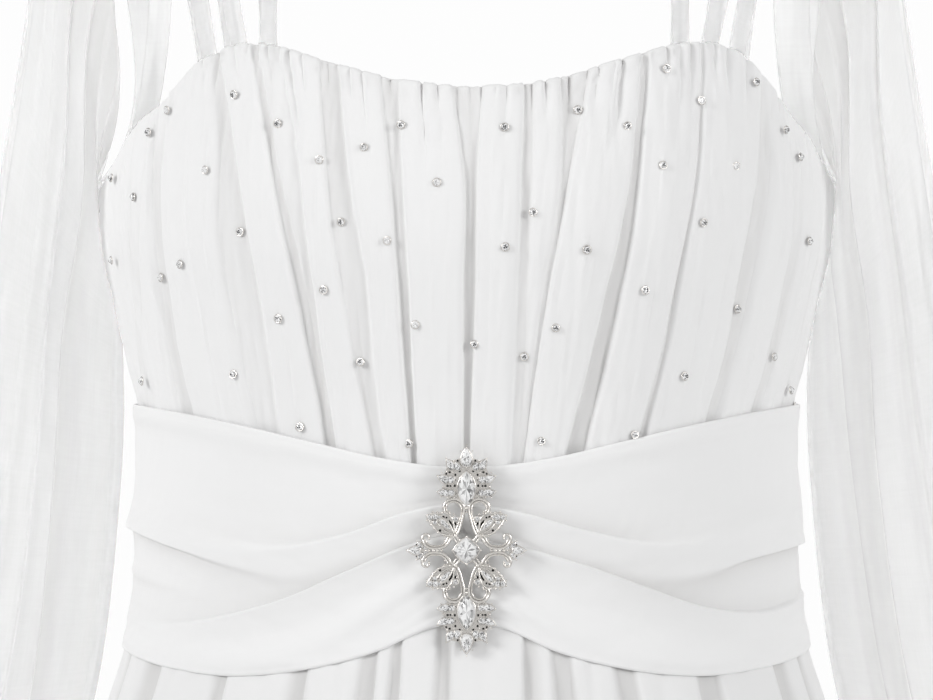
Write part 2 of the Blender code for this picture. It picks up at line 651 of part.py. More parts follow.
def waistband_back(finish, collection):
    degrees = np.linspace(-SEAM_ANGLE, SEAM_ANGLE, BACK_BAND_COLUMNS + 1)
    share = np.linspace(1.0, 0.0, len(BACK_BAND_LIFTS))
    upper = waistband_edge(90.0, 1)
    lower = waistband_edge(90.0, 2)
    height = (upper + (lower - upper) * share)[:, None] + 0.0 * degrees[None, :]
    lift = np.array(BACK_BAND_LIFTS)[::-1, None] * MM + 0.0 * height
    points = body_point(180.0 + degrees[None, :] + 0.0 * height, height, lift)
    wall("waistband_back", points, False, CLOTH, finish, collection)


def skirt_panel(name, folds, turned, finish, collection):
    """A gathered panel from under the waistband down to the hem."""
    levels = np.array(SKIRT_LEVELS)[::-1]
    waist, hem, depths = (column(folds, index) for index in range(3))
    valleys = waist[None, :] * (1 - np.sqrt(levels))[:, None] + hem[None, :] * np.sqrt(levels)[:, None]
    degrees, sinks = fan(valleys, depths, SKIRT_COLUMNS)
    band_bottom = waistband_edge(degrees if not turned else 90.0 + 0.0 * degrees, 2)
    top = band_bottom + TUCK
    height = top + (HEM_HEIGHT - top) * levels[:, None]
    growth = smooth(height, column(SKIRT_FOLD_GROWTH, 0) * MM, column(SKIRT_FOLD_GROWTH, 1) * MM)
    lift = tucked(height, ABOVE_ALL, band_bottom, SKIRT_INSET) - growth * sinks[None, :]
    points = body_point(degrees + turned, height, lift)
    wall(name, points, False, CLOTH, finish, collection)


def brooch_outline():
    """Outline of the ornament: one quarter's points, mirrored up and down and to both sides."""
    quarter = np.array(BROOCH_QUARTER) * MM
    right = np.concatenate([quarter, quarter[-2::-1] * (1.0, -1.0)])
    left = right[-2:0:-1] * (-1.0, 1.0)
    return np.concatenate([right, left])


def oval(centre, half_width, half_height, count):
    turn = np.linspace(0.0, 2 * np.pi, count, endpoint=False)
    return np.stack([centre[0] + half_width * np.cos(turn), centre[1] + half_height * np.sin(turn)], axis=1)


def stone_outline(half_width, half_height, tip, navette, count):
    """A stone seen from the front: tip 1 makes a drop that points up, navette 1 points both ends."""
    turn = np.linspace(0.0, 2 * np.pi, count, endpoint=False)
    narrow = (1 - DROP_TAPER * tip * np.sin(turn)) * (1 - NAVETTE_TAPER * navette * np.sin(turn)**2)
    return np.stack([half_width * np.cos(turn) * narrow, half_height * np.sin(turn)], axis=1)


# A quarter of the ornament's outline, from its top to its side: across and up, in millimetres
BROOCH_QUARTER = (
    (0.0, 40.5),
    (1.6, 37.8),
    (3.4, 34.4),
    (6.6, 33.4),
    (8.0, 29.8),
    (10.6, 26.8),
    (10.2, 21.0),
    (9.0, 17.8),
    (8.6, 14.4),
    (12.6, 14.6),
    (15.6, 12.2),
    (14.4, 7.4),
    (17.4, 5.6),
    (17.8, 2.8),
    (22.6, 0.0),
)

# Openings of the ornament: across, up, half width, half height, in millimetres
BROOCH_HOLES = (
    (0.0, 9.4, 2.8, 4.0),
    (0.0, -9.4, 2.8, 4.0),
    (-5.4, 16.2, 2.3, 2.3),
    (5.4, 16.2, 2.3, 2.3),
    (-5.4, -16.2, 2.3, 2.3),
    (5.4, -16.2, 2.3, 2.3),
    (-12.4, 4.6, 3.2, 2.1),
    (12.4, 4.6, 3.2, 2.1),
    (-12.4, -4.6, 3.2, 2.1),
    (12.4, -4.6, 3.2, 2.1),
)

# Large stones: name, across, up, half width, half height, share of a drop, share of a navette,
# degrees turned
BROOCH_STONES = (
    ("brooch_stone_peak", 0.0, 35.4, 2.6, 4.0, 1.0, 0.0, 0.0),
    ("brooch_stone_top", 0.0, 23.4, 3.7, 7.2, 0.0, 1.0, 0.0),
    ("brooch_stone_middle", 0.0, 0.0, 4.3, 4.3, 0.0, 0.3, 0.0),
    ("brooch_stone_bottom", 0.0, -23.4, 3.7, 7.2, 0.0, 1.0, 0.0),
    ("brooch_stone_foot", 0.0, -35.4, 2.6, 4.0, 1.0, 0.0, 180.0),
    ("brooch_stone_left", -18.8, 0.0, 2.4, 3.5, 1.0, 0.0, 90.0),
    ("brooch_stone_right", 18.8, 0.0, 2.4, 3.5, 1.0, 0.0, 270.0),
)
STONE_HEIGHT = 3.0 * MM
DROP_TAPER = 0.5
NAVETTE_TAPER = 0.45
STONE_CORNERS = 16

# Sections of a stone from its back to its table: share of the outline, share of the height
STONE_SECTIONS = ((0.86, 0.0), (1.0, 0.3), (0.55, 1.0))


def brooch_face():
    """Depth of the ornament's back: just in front of the waistband's ridges behind it."""
    degrees = np.linspace(-BROOCH_HALF_ANGLE, BROOCH_HALF_ANGLE, DRAPE_COLUMNS)
    band = drape_points(degrees, np.linspace(0.0, 1.0, DRAPE_COLUMNS))
    return float(band[..., 1].min()) - 0.5 * CLOTH - SEAM_GAP


def brooch_frame(depth, finish, collection):
    flat = bpy.data.curves.new("brooch_frame", "CURVE")
    flat.dimensions = "2D"
    flat.fill_mode = "BOTH"
    flat.extrude = 0.5 * BROOCH_PLATE
    outlines = [brooch_outline()]
    for across, up, half_width, half_height in BROOCH_HOLES:
        outlines.append(oval((across * MM, up * MM), half_width * MM, half_height * MM,
                             BROOCH_HOLE_CORNERS))
    for outline in outlines:
        line = flat.splines.new("POLY")
        line.points.add(len(outline) - 1)
        for point, (across, up) in zip(line.points, outline):
            point.co = (across, up, 0.0, 1.0)
        line.use_cyclic_u = True
    drawn = bpy.data.objects.new("brooch_drawing", flat)
    drawn.rotation_euler = (math.radians(90), 0.0, 0.0)
    drawn.location = (0.0, depth - 0.5 * BROOCH_PLATE, BROOCH_MIDDLE)
    collection.objects.link(drawn)
    bpy.context.view_layer.update()
    evaluated = drawn.evaluated_get(bpy.context.evaluated_depsgraph_get())
    mesh = bpy.data.meshes.new_from_object(evaluated)
    mesh.name = "brooch_frame"
    mesh.transform(drawn.matrix_world)
    bpy.data.objects.remove(drawn)
    cleaner = bmesh.new()
    cleaner.from_mesh(mesh)
    bmesh.ops.remove_doubles(cleaner, verts=cleaner.verts, dist=MERGE_DISTANCE)
    bmesh.ops.recalc_face_normals(cleaner, faces=cleaner.faces)
    cleaner.to_mesh(mesh)
    cleaner.free()
    mesh.materials.clear()
    mesh.materials.append(finish)
    collection.objects.link(bpy.data.objects.new("brooch_frame", mesh))


def brooch_stone(name, across, up, half_width, half_height, tip, navette, turned, depth,
                 finish, collection):
    """A cut stone: a flat back, a sloping crown and a small flat table in front."""
    flat = stone_outline(half_width, half_height, tip, navette, STONE_CORNERS)
    turn = math.radians(turned)
    girdle = flat @ np.array([[math.cos(turn), math.sin(turn)], [-math.sin(turn), math.cos(turn)]])
    base = depth - BROOCH_PLATE - SEAM_GAP
    rings = []
    for share, forward in STONE_SECTIONS:
        x = (across + girdle[:, 0] * share) * MM
        z = BROOCH_MIDDLE + (up + girdle[:, 1] * share) * MM
        rings.append(np.stack([x, np.full(len(x), base - forward * STONE_HEIGHT), z], axis=1))
    made = loft(name, np.stack(rings), False, finish, collection)
    made.data.set_sharp_from_angle(angle=math.radians(STONE_SHARP_ANGLE))


def build_gown():
    for old in list(bpy.data.objects):
        bpy.data.objects.remove(old)
    collection = bpy.data.collections.new("ball_gown")
    bpy.context.scene.collection.children.link(collection)
    chiffon = material("chiffon", COLOURS["chiffon"], 0.85, 0.0)
    firm_cloth = material("lined chiffon", COLOURS["lining cloth"], 0.8, 0.0)
    silver = material("silver", COLOURS["silver"], 0.25, 1.0)
    crystal = material("crystal", COLOURS["crystal"], 0.05, 0.0)
    bodice_front(firm_cloth, collection)
    bodice_back(firm_cloth, collection)
    neckline_edge(firm_cloth, collection)
    for row in STRAPS:
        strap(*row, firm_cloth, collection)
    for word, armhole in (("left", ARMHOLE_LEFT), ("right", ARMHOLE_RIGHT)):
        armhole_band("armhole_band_" + word, armhole, chiffon, collection)
        sleeve("sleeve_" + word, armhole, chiffon, collection)
    waistband_front(firm_cloth, collection)
    waistband_back(firm_cloth, collection)
    skirt_panel("skirt_front", SKIRT_FRONT_FOLDS, 0.0, chiffon, collection)
    skirt_panel("skirt_back", SKIRT_BACK_FOLDS, 180.0, chiffon, collection)
    face = brooch_face()
    brooch_frame(face, silver, collection)
    for row in BROOCH_STONES:
        brooch_stone(*row, face, crystal, collection)


build_gown()
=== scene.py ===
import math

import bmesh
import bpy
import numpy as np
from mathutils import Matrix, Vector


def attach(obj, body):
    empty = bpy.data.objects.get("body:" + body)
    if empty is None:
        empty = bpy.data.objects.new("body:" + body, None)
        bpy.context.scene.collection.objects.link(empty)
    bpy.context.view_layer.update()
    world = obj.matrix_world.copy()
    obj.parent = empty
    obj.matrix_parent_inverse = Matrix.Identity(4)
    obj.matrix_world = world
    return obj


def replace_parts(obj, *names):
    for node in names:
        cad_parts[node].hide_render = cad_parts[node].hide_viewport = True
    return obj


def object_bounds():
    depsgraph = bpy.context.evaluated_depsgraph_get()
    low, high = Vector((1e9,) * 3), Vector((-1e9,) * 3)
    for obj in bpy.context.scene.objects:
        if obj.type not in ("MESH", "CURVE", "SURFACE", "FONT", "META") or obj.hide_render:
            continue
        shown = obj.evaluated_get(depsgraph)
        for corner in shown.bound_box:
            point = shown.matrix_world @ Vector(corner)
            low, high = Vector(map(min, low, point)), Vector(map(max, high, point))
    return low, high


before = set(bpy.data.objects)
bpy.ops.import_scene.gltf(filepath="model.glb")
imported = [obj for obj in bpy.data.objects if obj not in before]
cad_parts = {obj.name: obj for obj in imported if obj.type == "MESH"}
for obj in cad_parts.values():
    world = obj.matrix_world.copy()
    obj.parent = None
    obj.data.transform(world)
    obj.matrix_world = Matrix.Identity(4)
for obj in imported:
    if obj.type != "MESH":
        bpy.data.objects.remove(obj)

# %% [markdown]
# # A gathered ball gown
#
# The gown hangs as if somebody stood in it, with nobody there.  The rigid solids that were just
# loaded give its true sizes.  Each one gets a thin cloth skin here, worked out as a surface on a
# grid, and the metal, stones and thread are made on top of that.

MM = 0.001
cad_box = [list(corner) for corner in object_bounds()]
print("solid model's box in metres:", np.round(cad_box, 4).tolist())

# %% [markdown]
# ## Helpers
#
# Every finish is a small tree of nodes.  One helper sets a socket or links it, so each tree below
# reads as a list of what feeds what.

# %% Helpers for objects and nodes
def linked(name, data):
    """A new object in the scene that shows some data."""
    made = bpy.data.objects.new(name, data)
    bpy.context.collection.objects.link(made)
    return made


def piece(name, mesh, slot):
    """A new object of the gown: it moves with the one rigid body; slot is not used."""
    made = linked(name, mesh)
    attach(made, "root")
    return made


def feed(tree, made, values):
    """Feed a node's inputs, by name or number: an output socket is linked, anything else is set."""
    for name, value in values.items():
        if isinstance(value, bpy.types.NodeSocket):
            tree.links.new(value, made.inputs[name])
        else:
            made.inputs[name].default_value = value
    return made


def node(tree, kind, values):
    """A new node with its inputs fed."""
    return feed(tree, tree.nodes.new(kind), values)


def maths(tree, operation, first, second):
    """A Math node on two sockets or numbers; returns its output."""
    made = node(tree, "ShaderNodeMath", {0: first, 1: second})
    made.operation = operation
    return made.outputs[0]


def ranged(tree, value, low, high, to_low, to_high):
    """The value with its range from low to high stretched to another range; returns the output."""
    return node(tree, "ShaderNodeMapRange", {"Value": value, "From Min": low, "From Max": high,
                                             "To Min": to_low, "To Max": to_high}).outputs[0]


def tinted(tree, share, first, second):
    """A colour that runs from the first to the second with a share; returns the output."""
    made = tree.nodes.new("ShaderNodeMix")
    made.data_type = "RGBA"
    feed(tree, made, {"Factor": share, "A": (*first, 1.0), "B": (*second, 1.0)})
    return made.outputs["Result"]


def toned(tree, value, stops):
    """A colour ramp through stops of (place, colour), its two ends first; returns the output."""
    made = node(tree, "ShaderNodeValToRGB", {0: value})
    elements = made.color_ramp.elements
    for number, (place, colour) in enumerate(stops):
        stop = elements[number] if number < 2 else elements.new(place)
        stop.position = place
        stop.color = (*colour, 1.0)
    return made.outputs[0]


def attribute(tree, name):
    """The value that a mesh carries under a name; returns the output."""
    made = tree.nodes.new("ShaderNodeAttribute")
    made.attribute_name = name
    return made.outputs["Fac"]


def new_finish(name, values):
    """A new material, its node tree and its shader with the constants set."""
    finish = bpy.data.materials.new(name)
    finish.use_nodes = True
    tree = finish.node_tree
    return finish, tree, feed(tree, tree.nodes["Principled BSDF"], values)


# %% [markdown]
# ## Camera
#
# The photograph is a close-up taken square on, at chest height.  A long lens three metres away
# keeps the perspective as flat as the picture's.

# %% Camera
CAMERA_DISTANCE = 3.0
CAMERA_HEIGHT = -0.24
FRAME_WIDTH = 0.3732
SENSOR_WIDTH = 36.0

camera_data = bpy.data.cameras.new("studio_camera")
camera_data.sensor_width = SENSOR_WIDTH
camera_data.lens = SENSOR_WIDTH * CAMERA_DISTANCE / FRAME_WIDTH
camera = linked("studio_camera", camera_data)
camera.location = (0.0, -CAMERA_DISTANCE, CAMERA_HEIGHT)
camera.rotation_euler = (math.radians(90), 0.0, 0.0)
bpy.context.scene.camera = camera
bpy.context.scene.view_settings.view_transform = "Standard"
bpy.context.scene.cycles.transparent_max_bounces = 24
bpy.context.scene.cycles.diffuse_bounces = 8
print("lens in millimetres:", round(camera_data.lens, 1))

# %% [markdown]
# ## Light
#
# White cloth on white needs very soft light, or its folds turn hard.  The sky is a bright even
# dome, a large lamp at the front left draws the folds, a weaker one at the right fills them, and a
# faint one behind keeps the sheer sleeves light.

# %% Light
SKY_LIGHT = 0.52
BACKDROP = 0.985
LAMP_SIZE = 1.0

# Name, place, height that it faces on the gown's middle line, watts
LAMPS = (
    ("key_lamp", (-2.3, -1.7, 0.8), -0.3, 36.0), ("fill_lamp", (2.3, -1.7, 0.5), -0.4, 25.0),
    ("back_lamp", (1.6, 2.6, 0.9), -0.4, 9.0),
)


def studio_sky():
    """An even dome of light; straight through the lens it is the pale backdrop."""
    world = bpy.data.worlds.new("studio")
    world.use_nodes = True
    tree = world.node_tree
    tree.nodes.clear()
    place = tree.nodes.new("ShaderNodeTexCoord")
    split = node(tree, "ShaderNodeSeparateXYZ", {0: place.outputs["Generated"]})
    height = ranged(tree, split.outputs["Z"], -1.0, 1.0, 0.0, 1.0)
    tone = toned(tree, height, ((0.35, (0.8, 0.8, 0.8)), (0.75, (1.0, 1.0, 1.0))))
    light = node(tree, "ShaderNodeBackground", {"Color": tone, "Strength": SKY_LIGHT})
    backdrop = node(tree, "ShaderNodeBackground", {"Color": (BACKDROP, BACKDROP, BACKDROP, 1.0)})
    path = tree.nodes.new("ShaderNodeLightPath")
    mix = node(tree, "ShaderNodeMixShader",
               {0: path.outputs["Is Camera Ray"], 1: light.outputs[0], 2: backdrop.outputs[0]})
    node(tree, "ShaderNodeOutputWorld", {"Surface": mix.outputs[0]})
    bpy.context.scene.world = world


def soft_lamp(name, place, aim_height, watts):
    """A square lamp that faces a height on the gown's middle line."""
    lamp = bpy.data.lights.new(name, "AREA")
    lamp.shape = "SQUARE"
    lamp.size = LAMP_SIZE
    lamp.energy = watts
    made = linked(name, lamp)
    x, y, z = place
    made.location = place
    made.rotation_euler = (math.atan2(math.hypot(x, y), z - aim_height), 0.0, math.atan2(x, -y))


studio_sky()
for lamp_row in LAMPS:
    soft_lamp(*lamp_row)
print("lamps:", [lamp.name for lamp in bpy.data.lights])

# %% [markdown]
# ## Floor
#
# The photograph's backdrop runs on without an edge.  A wide pale sheet just under the hem throws
# some light back up under the folds, as a studio's floor does.

# %% Floor
FLOOR_SIZE = 9.0
FLOOR_GREY = 0.86
floor_height = cad_box[0][2] - 1.5 * MM
floor_mesh = bpy.data.meshes.new("floor")
floor_corners = np.array([(-1, -1), (1, -1), (1, 1), (-1, 1)]) * FLOOR_SIZE
floor_mesh.from_pydata([(x, y, floor_height) for x, y in floor_corners], [], [(0, 1, 2, 3)])
floor = linked("floor", floor_mesh)
floor_mesh.materials.append(new_finish("pale_floor", {
    "Base Color": (FLOOR_GREY, FLOOR_GREY, FLOOR_GREY, 1.0), "Roughness": 0.9})[0])
print("floor at", round(floor_height, 4))

# %% [markdown]
# ## The body's form
#
# All the panels hang on one form: a stack of ovals, each with its own half width and its own
# depth to the front and to the back.  An angle and a height name a place on it, and lift moves
# that place out from the form.  Folds are then only changes of the lift.

# %% Body form
# Millimetres: height, half width, depth to the front, depth to the back
BODY_SECTIONS = (
    (-105, 137.5, 94, 88), (-150, 144, 109, 94), (-182, 146.3, 115, 96), (-200, 144.7, 114.5, 95.5),
    (-220, 140.3, 110.5, 94), (-240, 136, 105.5, 92), (-262, 131.2, 100, 90), (-302, 129.7, 96.5, 91),
    (-334, 130.8, 98, 93.5), (-360, 136.2, 102, 98), (-380, 142.8, 108.5, 103.5), (-450, 167, 133, 126),
    (-600, 220, 186, 178), (-850, 310, 280, 272), (-1150, 415, 388, 380), (-1400, 500, 475, 468),
)

# Degrees where the front and back panels end: just short of the sides, so that they don't touch
SEAM_ANGLE = 89.96


def column(table, index):
    """One column of a table as an array."""
    return np.array([row[index] for row in table], float)


def smooth(places, known_places, known_values):
    """A curve through known values: cubic pieces that leave each value with its neighbours' slope."""
    x = np.asarray(known_places, float)
    y = np.asarray(known_values, float)
    if x[0] > x[-1]:
        x, y = x[::-1], y[::-1]
    slope = np.gradient(y, x)
    places = np.clip(places, x[0], x[-1])
    piece = np.clip(np.searchsorted(x, places, side="right") - 1, 0, len(x) - 2)
    width = x[piece + 1] - x[piece]
    t = (places - x[piece]) / width
    start = y[piece] * (2 * t**3 - 3 * t**2 + 1) + slope[piece] * width * (t**3 - 2 * t**2 + t)
    end = y[piece + 1] * (3 * t**2 - 2 * t**3) + slope[piece + 1] * width * (t**3 - t**2)
    return start + end


def along_table(places, table, index=1):
    """A column in millimetres as a curve over the table's first column; returns metres."""
    return smooth(places, column(table, 0), column(table, index) * MM)


def unit(vectors):
    """Vectors made one long, along the last axis."""
    return vectors / np.linalg.norm(vectors, axis=-1, keepdims=True)


def circle(count):
    """Angles of a whole turn in equal steps, in radians."""
    return np.linspace(0.0, 2 * np.pi, count, endpoint=False)


def form_radii(degrees, height):
    """Half width and depth of the form at an angle and a height, in metres."""
    heights, *known = (column(BODY_SECTIONS, index) * MM for index in range(4))
    half_width, front, back = (smooth(height, heights, values) for values in known)
    return half_width, np.where(np.cos(np.radians(degrees)) > 0.0, front, back)


def radii_at(places):
    """Half width and depth of the form at points in metres, on the side where each of them is."""
    half_width, front = form_radii(0.0, places[..., 2])
    _, back = form_radii(180.0, places[..., 2])
    return half_width, np.where(places[..., 1] < 0.0, front, back)


def body_point(degrees, height, lift):
    """A place on the form: 0 degrees is the front middle and +90 is +X; lift is metres outwards."""
    angle = np.radians(degrees)
    half_width, depth = form_radii(degrees, height)
    x = (half_width + lift) * np.sin(angle)
    y = -(depth + lift) * np.cos(angle)
    return np.stack([x, y, height + 0.0 * x], axis=-1)


def degree_length(degrees, height):
    """Metres of cloth in one degree round the form."""
    angle = np.radians(degrees)
    half_width, depth = form_radii(degrees, height)
    return np.radians(np.hypot(half_width * np.cos(angle), depth * np.sin(angle)))


def ease(x):
    """0 below 0, 1 above 1, and a smooth S between."""
    x = np.clip(x, 0.0, 1.0)
    return x * x * (3 - 2 * x)


def bell(distance, width, power=2):
    """1 at distance 0 and falling to both sides: exp(-|distance / width|^power)."""
    return np.exp(-np.abs(distance / width)**power)


print("waist is", round(2000 * float(form_radii(0.0, -0.302)[0])), "mm wide")

# %% [markdown]
# ## Cloth finishes
#
# Chiffon is a plain weave of fine hard-twisted threads.  Close to, it shows a tiny grid; a step
# away, only a soft matt white with faint streaks where threads are thicker.  Both come from one
# node group that reads the cloth's own flat coordinates, so they follow every fold.  Deep folds get
# painted shade: an attribute darkens the cloth's colour there, and lets sheer cloth cover a little
# more, as cloth that lies double does.

# %% [markdown]
# ### The weave
#
# Two crossed rows of threads, as a loom lays them.  They are far too fine to model, so they only
# tilt the light, and thick and thin places are streaks of noise along both directions.

# %% Weave group
THREADS = 2600.0
STREAKS = ((900.0, 26.0, 1.0), (30.0, 700.0, 1.0), (70.0, 60.0, 1.0))


def weave_group():
    """Cloth seen close: two crossed rows of threads, uneven thread by thread, and soft slubs.

    Height is the larger of the two rows' round tops; Tone runs from 0 in a thin place to 1 in a
    thick one.
    """
    group = bpy.data.node_groups.new("weave", "ShaderNodeTree")
    for name, direction, value in (("Threads per metre", "INPUT", THREADS), ("Slub", "INPUT", 0.5),
                                   ("Height", "OUTPUT", 0.0), ("Tone", "OUTPUT", 0.0)):
        made = group.interface.new_socket(name=name, in_out=direction, socket_type="NodeSocketFloat")
        made.default_value = value
    given = group.nodes.new("NodeGroupInput").outputs
    flat = group.nodes.new("ShaderNodeUVMap")
    flat.uv_map = "cloth"
    split = node(group, "ShaderNodeSeparateXYZ", {0: flat.outputs[0]})
    rows = []
    for axis in ("X", "Y"):
        phase = maths(group, "MULTIPLY", split.outputs[axis], given["Threads per metre"])
        wave = maths(group, "SINE", maths(group, "MULTIPLY", phase, math.pi), 0.0)
        rows.append(maths(group, "ABSOLUTE", wave, 0.0))
    streaks = []
    for stretch in STREAKS:
        mapping = node(group, "ShaderNodeMapping", {"Vector": flat.outputs[0], "Scale": stretch})
        noise = node(group, "ShaderNodeTexNoise",
                     {"Vector": mapping.outputs[0], "Scale": 1.0, "Detail": 3.0, "Roughness": 0.55})
        streaks.append(noise.outputs["Fac"])
    both = maths(group, "MULTIPLY", maths(group, "ADD", streaks[0], streaks[1]), 0.5)
    cloud = maths(group, "MULTIPLY", streaks[2], given["Slub"])
    tone = maths(group, "DIVIDE", maths(group, "ADD", both, cloud),
                 maths(group, "ADD", 1.0, given["Slub"]))
    node(group, "NodeGroupOutput", {"Height": maths(group, "MAXIMUM", *rows), "Tone": tone})
    return group


WEAVE = weave_group()
print("threads per metre in the weave:", THREADS)

# %% [markdown]
# ### The six cloths
#
# The bodice and the band are opaque, the skirt a little greyer in the picture's lower light, and
# the sleeves, strips and straps are the same chiffon alone, so the light comes through them.

# %% Cloths
# Strength of the glow, height of the threads, and how much more a deep fold of sheer cloth covers
BACK_GLOW = 0.06
THREAD_RELIEF = 0.12 * MM
FOLD_COVER = 0.2


def cloth_finish(name, colour, shaded, cover_share, through):
    """A matt cloth: painted shade in deep folds drops its colour towards the shaded one, as thin places
    do.

    cover_share is how much each face of the shell hides; 1 is opaque cloth.  through is the share of
    light that goes through the threads; a faint glow stands for the part that comes from behind.
    """
    finish, tree, shader = new_finish(name, {
        "Roughness": 0.86, "Specular IOR Level": 0.25, "Sheen Weight": 0.05, "Sheen Roughness": 0.4,
        "Subsurface Weight": through, "Subsurface Radius": (1.0, 1.0, 1.0),
        "Subsurface Scale": 1.5 * MM, "Emission Color": (1.0, 1.0, 1.0, 1.0),
        "Emission Strength": BACK_GLOW * through})
    weave = tree.nodes.new("ShaderNodeGroup")
    weave.node_tree = WEAVE
    fold = attribute(tree, "fold_shade")
    thin = ranged(tree, weave.outputs["Tone"], 0.35, 0.65, 0.05, 0.0)
    relief = node(tree, "ShaderNodeBump",
                  {"Height": weave.outputs["Height"], "Strength": 0.25, "Distance": THREAD_RELIEF})
    feed(tree, shader, {"Base Color": tinted(tree, maths(tree, "ADD", fold, thin), colour, shaded),
                        "Normal": relief.outputs[0]})
    if cover_share < 1.0:
        cover = ranged(tree, weave.outputs["Tone"], 0.3, 0.7, 0.96 * cover_share, 1.04 * cover_share)
        denser = maths(tree, "MULTIPLY", fold, FOLD_COVER)
        feed(tree, shader, {"Alpha": maths(tree, "ADD", cover, denser)})
    return finish


LINED = cloth_finish("lined_chiffon", (0.935,) * 3, (0.785, 0.78, 0.775), 1.0, 0.0)
DRAPED = cloth_finish("draped_chiffon", (0.93,) * 3, (0.78, 0.775, 0.77), 1.0, 0.0)
SHEER = cloth_finish("sheer_chiffon", (0.985,) * 3, (0.85, 0.845, 0.84), 0.24, 1.0)
STRIP = cloth_finish("folded_chiffon_strip", (0.985,) * 3, (0.86,) * 3, 0.35, 1.0)
STRAP = cloth_finish("folded_chiffon_strap", (0.985,) * 3, (0.86,) * 3, 0.24, 1.0)
SKIRT = cloth_finish("skirt_chiffon", (0.895,) * 3, (0.73, 0.725, 0.72), 1.0, 0.0)
print("cloth finishes:", [finish.name for finish in (LINED, DRAPED, SHEER, STRIP, STRAP, SKIRT)])

# %% [markdown]
# ## From a grid to a cloth
#
# A cloth here is a grid of points, rows of them along the cloth's length and columns across.
# Solidify then gives it two faces and an edge, as real cloth has.  The flat coordinates are the
# lengths measured along the grid, in metres, so the weave keeps its size.

# %% Cloth from a grid
CHIFFON = 0.45 * MM


def grid_quads(rows, columns, ring=False, tube=False):
    """Corner numbers (rows, columns, 4) of a grid's faces.

    A ring joins the last row to the first, and a tube the last column to the first.
    """
    here = np.arange(rows * columns).reshape(rows, columns)
    right, below = np.roll(here, -1, axis=1), np.roll(here, -1, axis=0)
    quads = np.stack([here, right, np.roll(right, -1, axis=0), below], axis=-1)
    return quads[:rows if ring else -1, :columns if tube else -1]


def face_sign(points):
    """+1 where the grid's faces point away from the middle of their row, -1 where they point in."""
    middle = points.mean(axis=1, keepdims=True)
    along = points[1:, :-1] - points[:-1, :-1]
    across = points[:-1, 1:] - points[:-1, :-1]
    normal = np.cross(across, along)
    return np.sign(np.sum(normal * (points - middle)[:-1, :-1]))


CUTS = {}


def cut_size(points, closed):
    """Longest row, mean column and area of a grid: what its cloth measures laid flat."""
    grid = np.concatenate([points, points[:, :1]], axis=1) if closed else points
    across, along = np.diff(grid, axis=1), np.diff(grid, axis=0)
    halves = (np.cross(across[:-1], along[:, :-1]), np.cross(across[1:], along[:, 1:]))
    wide = np.linalg.norm(across, axis=2).sum(axis=1).max()
    long = np.linalg.norm(along, axis=2).sum(axis=0).mean()
    return wide, long, 0.5 * sum(np.linalg.norm(half, axis=2).sum() for half in halves)


def run_of(steps, axis):
    """Running length of a grid's steps, each the mean along one axis, from 0."""
    return np.append(0.0, np.cumsum(np.linalg.norm(steps, axis=2).mean(axis=axis)))


def cloth_shell(name, points, finish, slot, shade=None, closed=False, thickness=CHIFFON):
    """One thin closed shell on a grid (rows, columns, 3); closed joins the last column to the first."""
    CUTS[name] = cut_size(points, closed)
    rows, columns = points.shape[:2]
    quads = grid_quads(rows, columns, tube=closed)
    across = quads.shape[1]
    u = run_of(np.diff(points, axis=1, append=points[:, :1]), 0)
    v = run_of(np.diff(points, axis=0), 1)
    flat_u = np.stack([u[:across], u[1:across + 1], u[1:across + 1], u[:across]], axis=-1)
    flat_v = np.stack([v[:-1], v[:-1], v[1:], v[1:]], axis=-1)[:, None]
    flat = np.stack([flat_u + 0.0 * flat_v, flat_v + 0.0 * flat_u], axis=-1)
    order = slice(None) if face_sign(points) > 0 else slice(None, None, -1)
    mesh = bpy.data.meshes.new(name)
    mesh.from_pydata(points.reshape(-1, 3), [], quads[..., order].reshape(-1, 4))
    mesh.uv_layers.new(name="cloth").data.foreach_set("uv", flat[:, :, order].reshape(-1))
    # Painted fold shade at each point; on sheer cloth it also makes the cloth cover more
    depth = mesh.attributes.new("fold_shade", "FLOAT", "POINT")
    depth.data.foreach_set("value", np.zeros(rows * columns) if shade is None else shade.reshape(-1))
    mesh.materials.append(finish)
    mesh.shade_smooth()
    made = piece(name, mesh, slot)
    thicken = made.modifiers.new("cloth thickness", "SOLIDIFY")
    thicken.thickness = thickness
    thicken.offset = 0.0
    return made


def dress(solid, *cloth, **more):
    """A shell that takes the place of a solid and has its name with _cloth."""
    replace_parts(cloth_shell(solid + "_cloth", *cloth, **more), solid)


def spread(knots, counts, crowding=0.8):
    """Lines between neighbouring knot lines, crowded towards the knots.

    knots is (lines, stations).  A line at share q of a gap sits at q - crowding sin(2 pi q) / 2 pi.
    """
    parts = []
    for number, count in enumerate(counts):
        q = np.arange(count) / count
        share = q - crowding * np.sin(2 * np.pi * q) / (2 * np.pi)
        parts.append(knots[number] + (knots[number + 1] - knots[number]) * share[:, None])
    parts.append(knots[-1:])
    return np.concatenate(parts)


def counts_for(knots, length, step, fewest):
    """How many grid lines each gap between knots needs so that they lie about one step apart."""
    widths = np.abs(np.diff(knots, axis=0)).max(axis=1) * length
    return np.maximum(fewest, np.ceil(widths / step)).astype(int)


def soft_noise(u, v, seed, waves, size_u, size_v):
    """Smooth unevenness about 0: the sum of waves with drawn directions, lengths and starts."""
    draw = np.random.default_rng(seed)
    total = np.zeros(np.broadcast(u, v).shape)
    for _ in range(waves):
        turn_u = draw.normal() / size_u
        turn_v = draw.normal() / size_v
        total += np.sin(2 * np.pi * (u * turn_u + v * turn_v + draw.random()))
    return total / math.sqrt(waves)


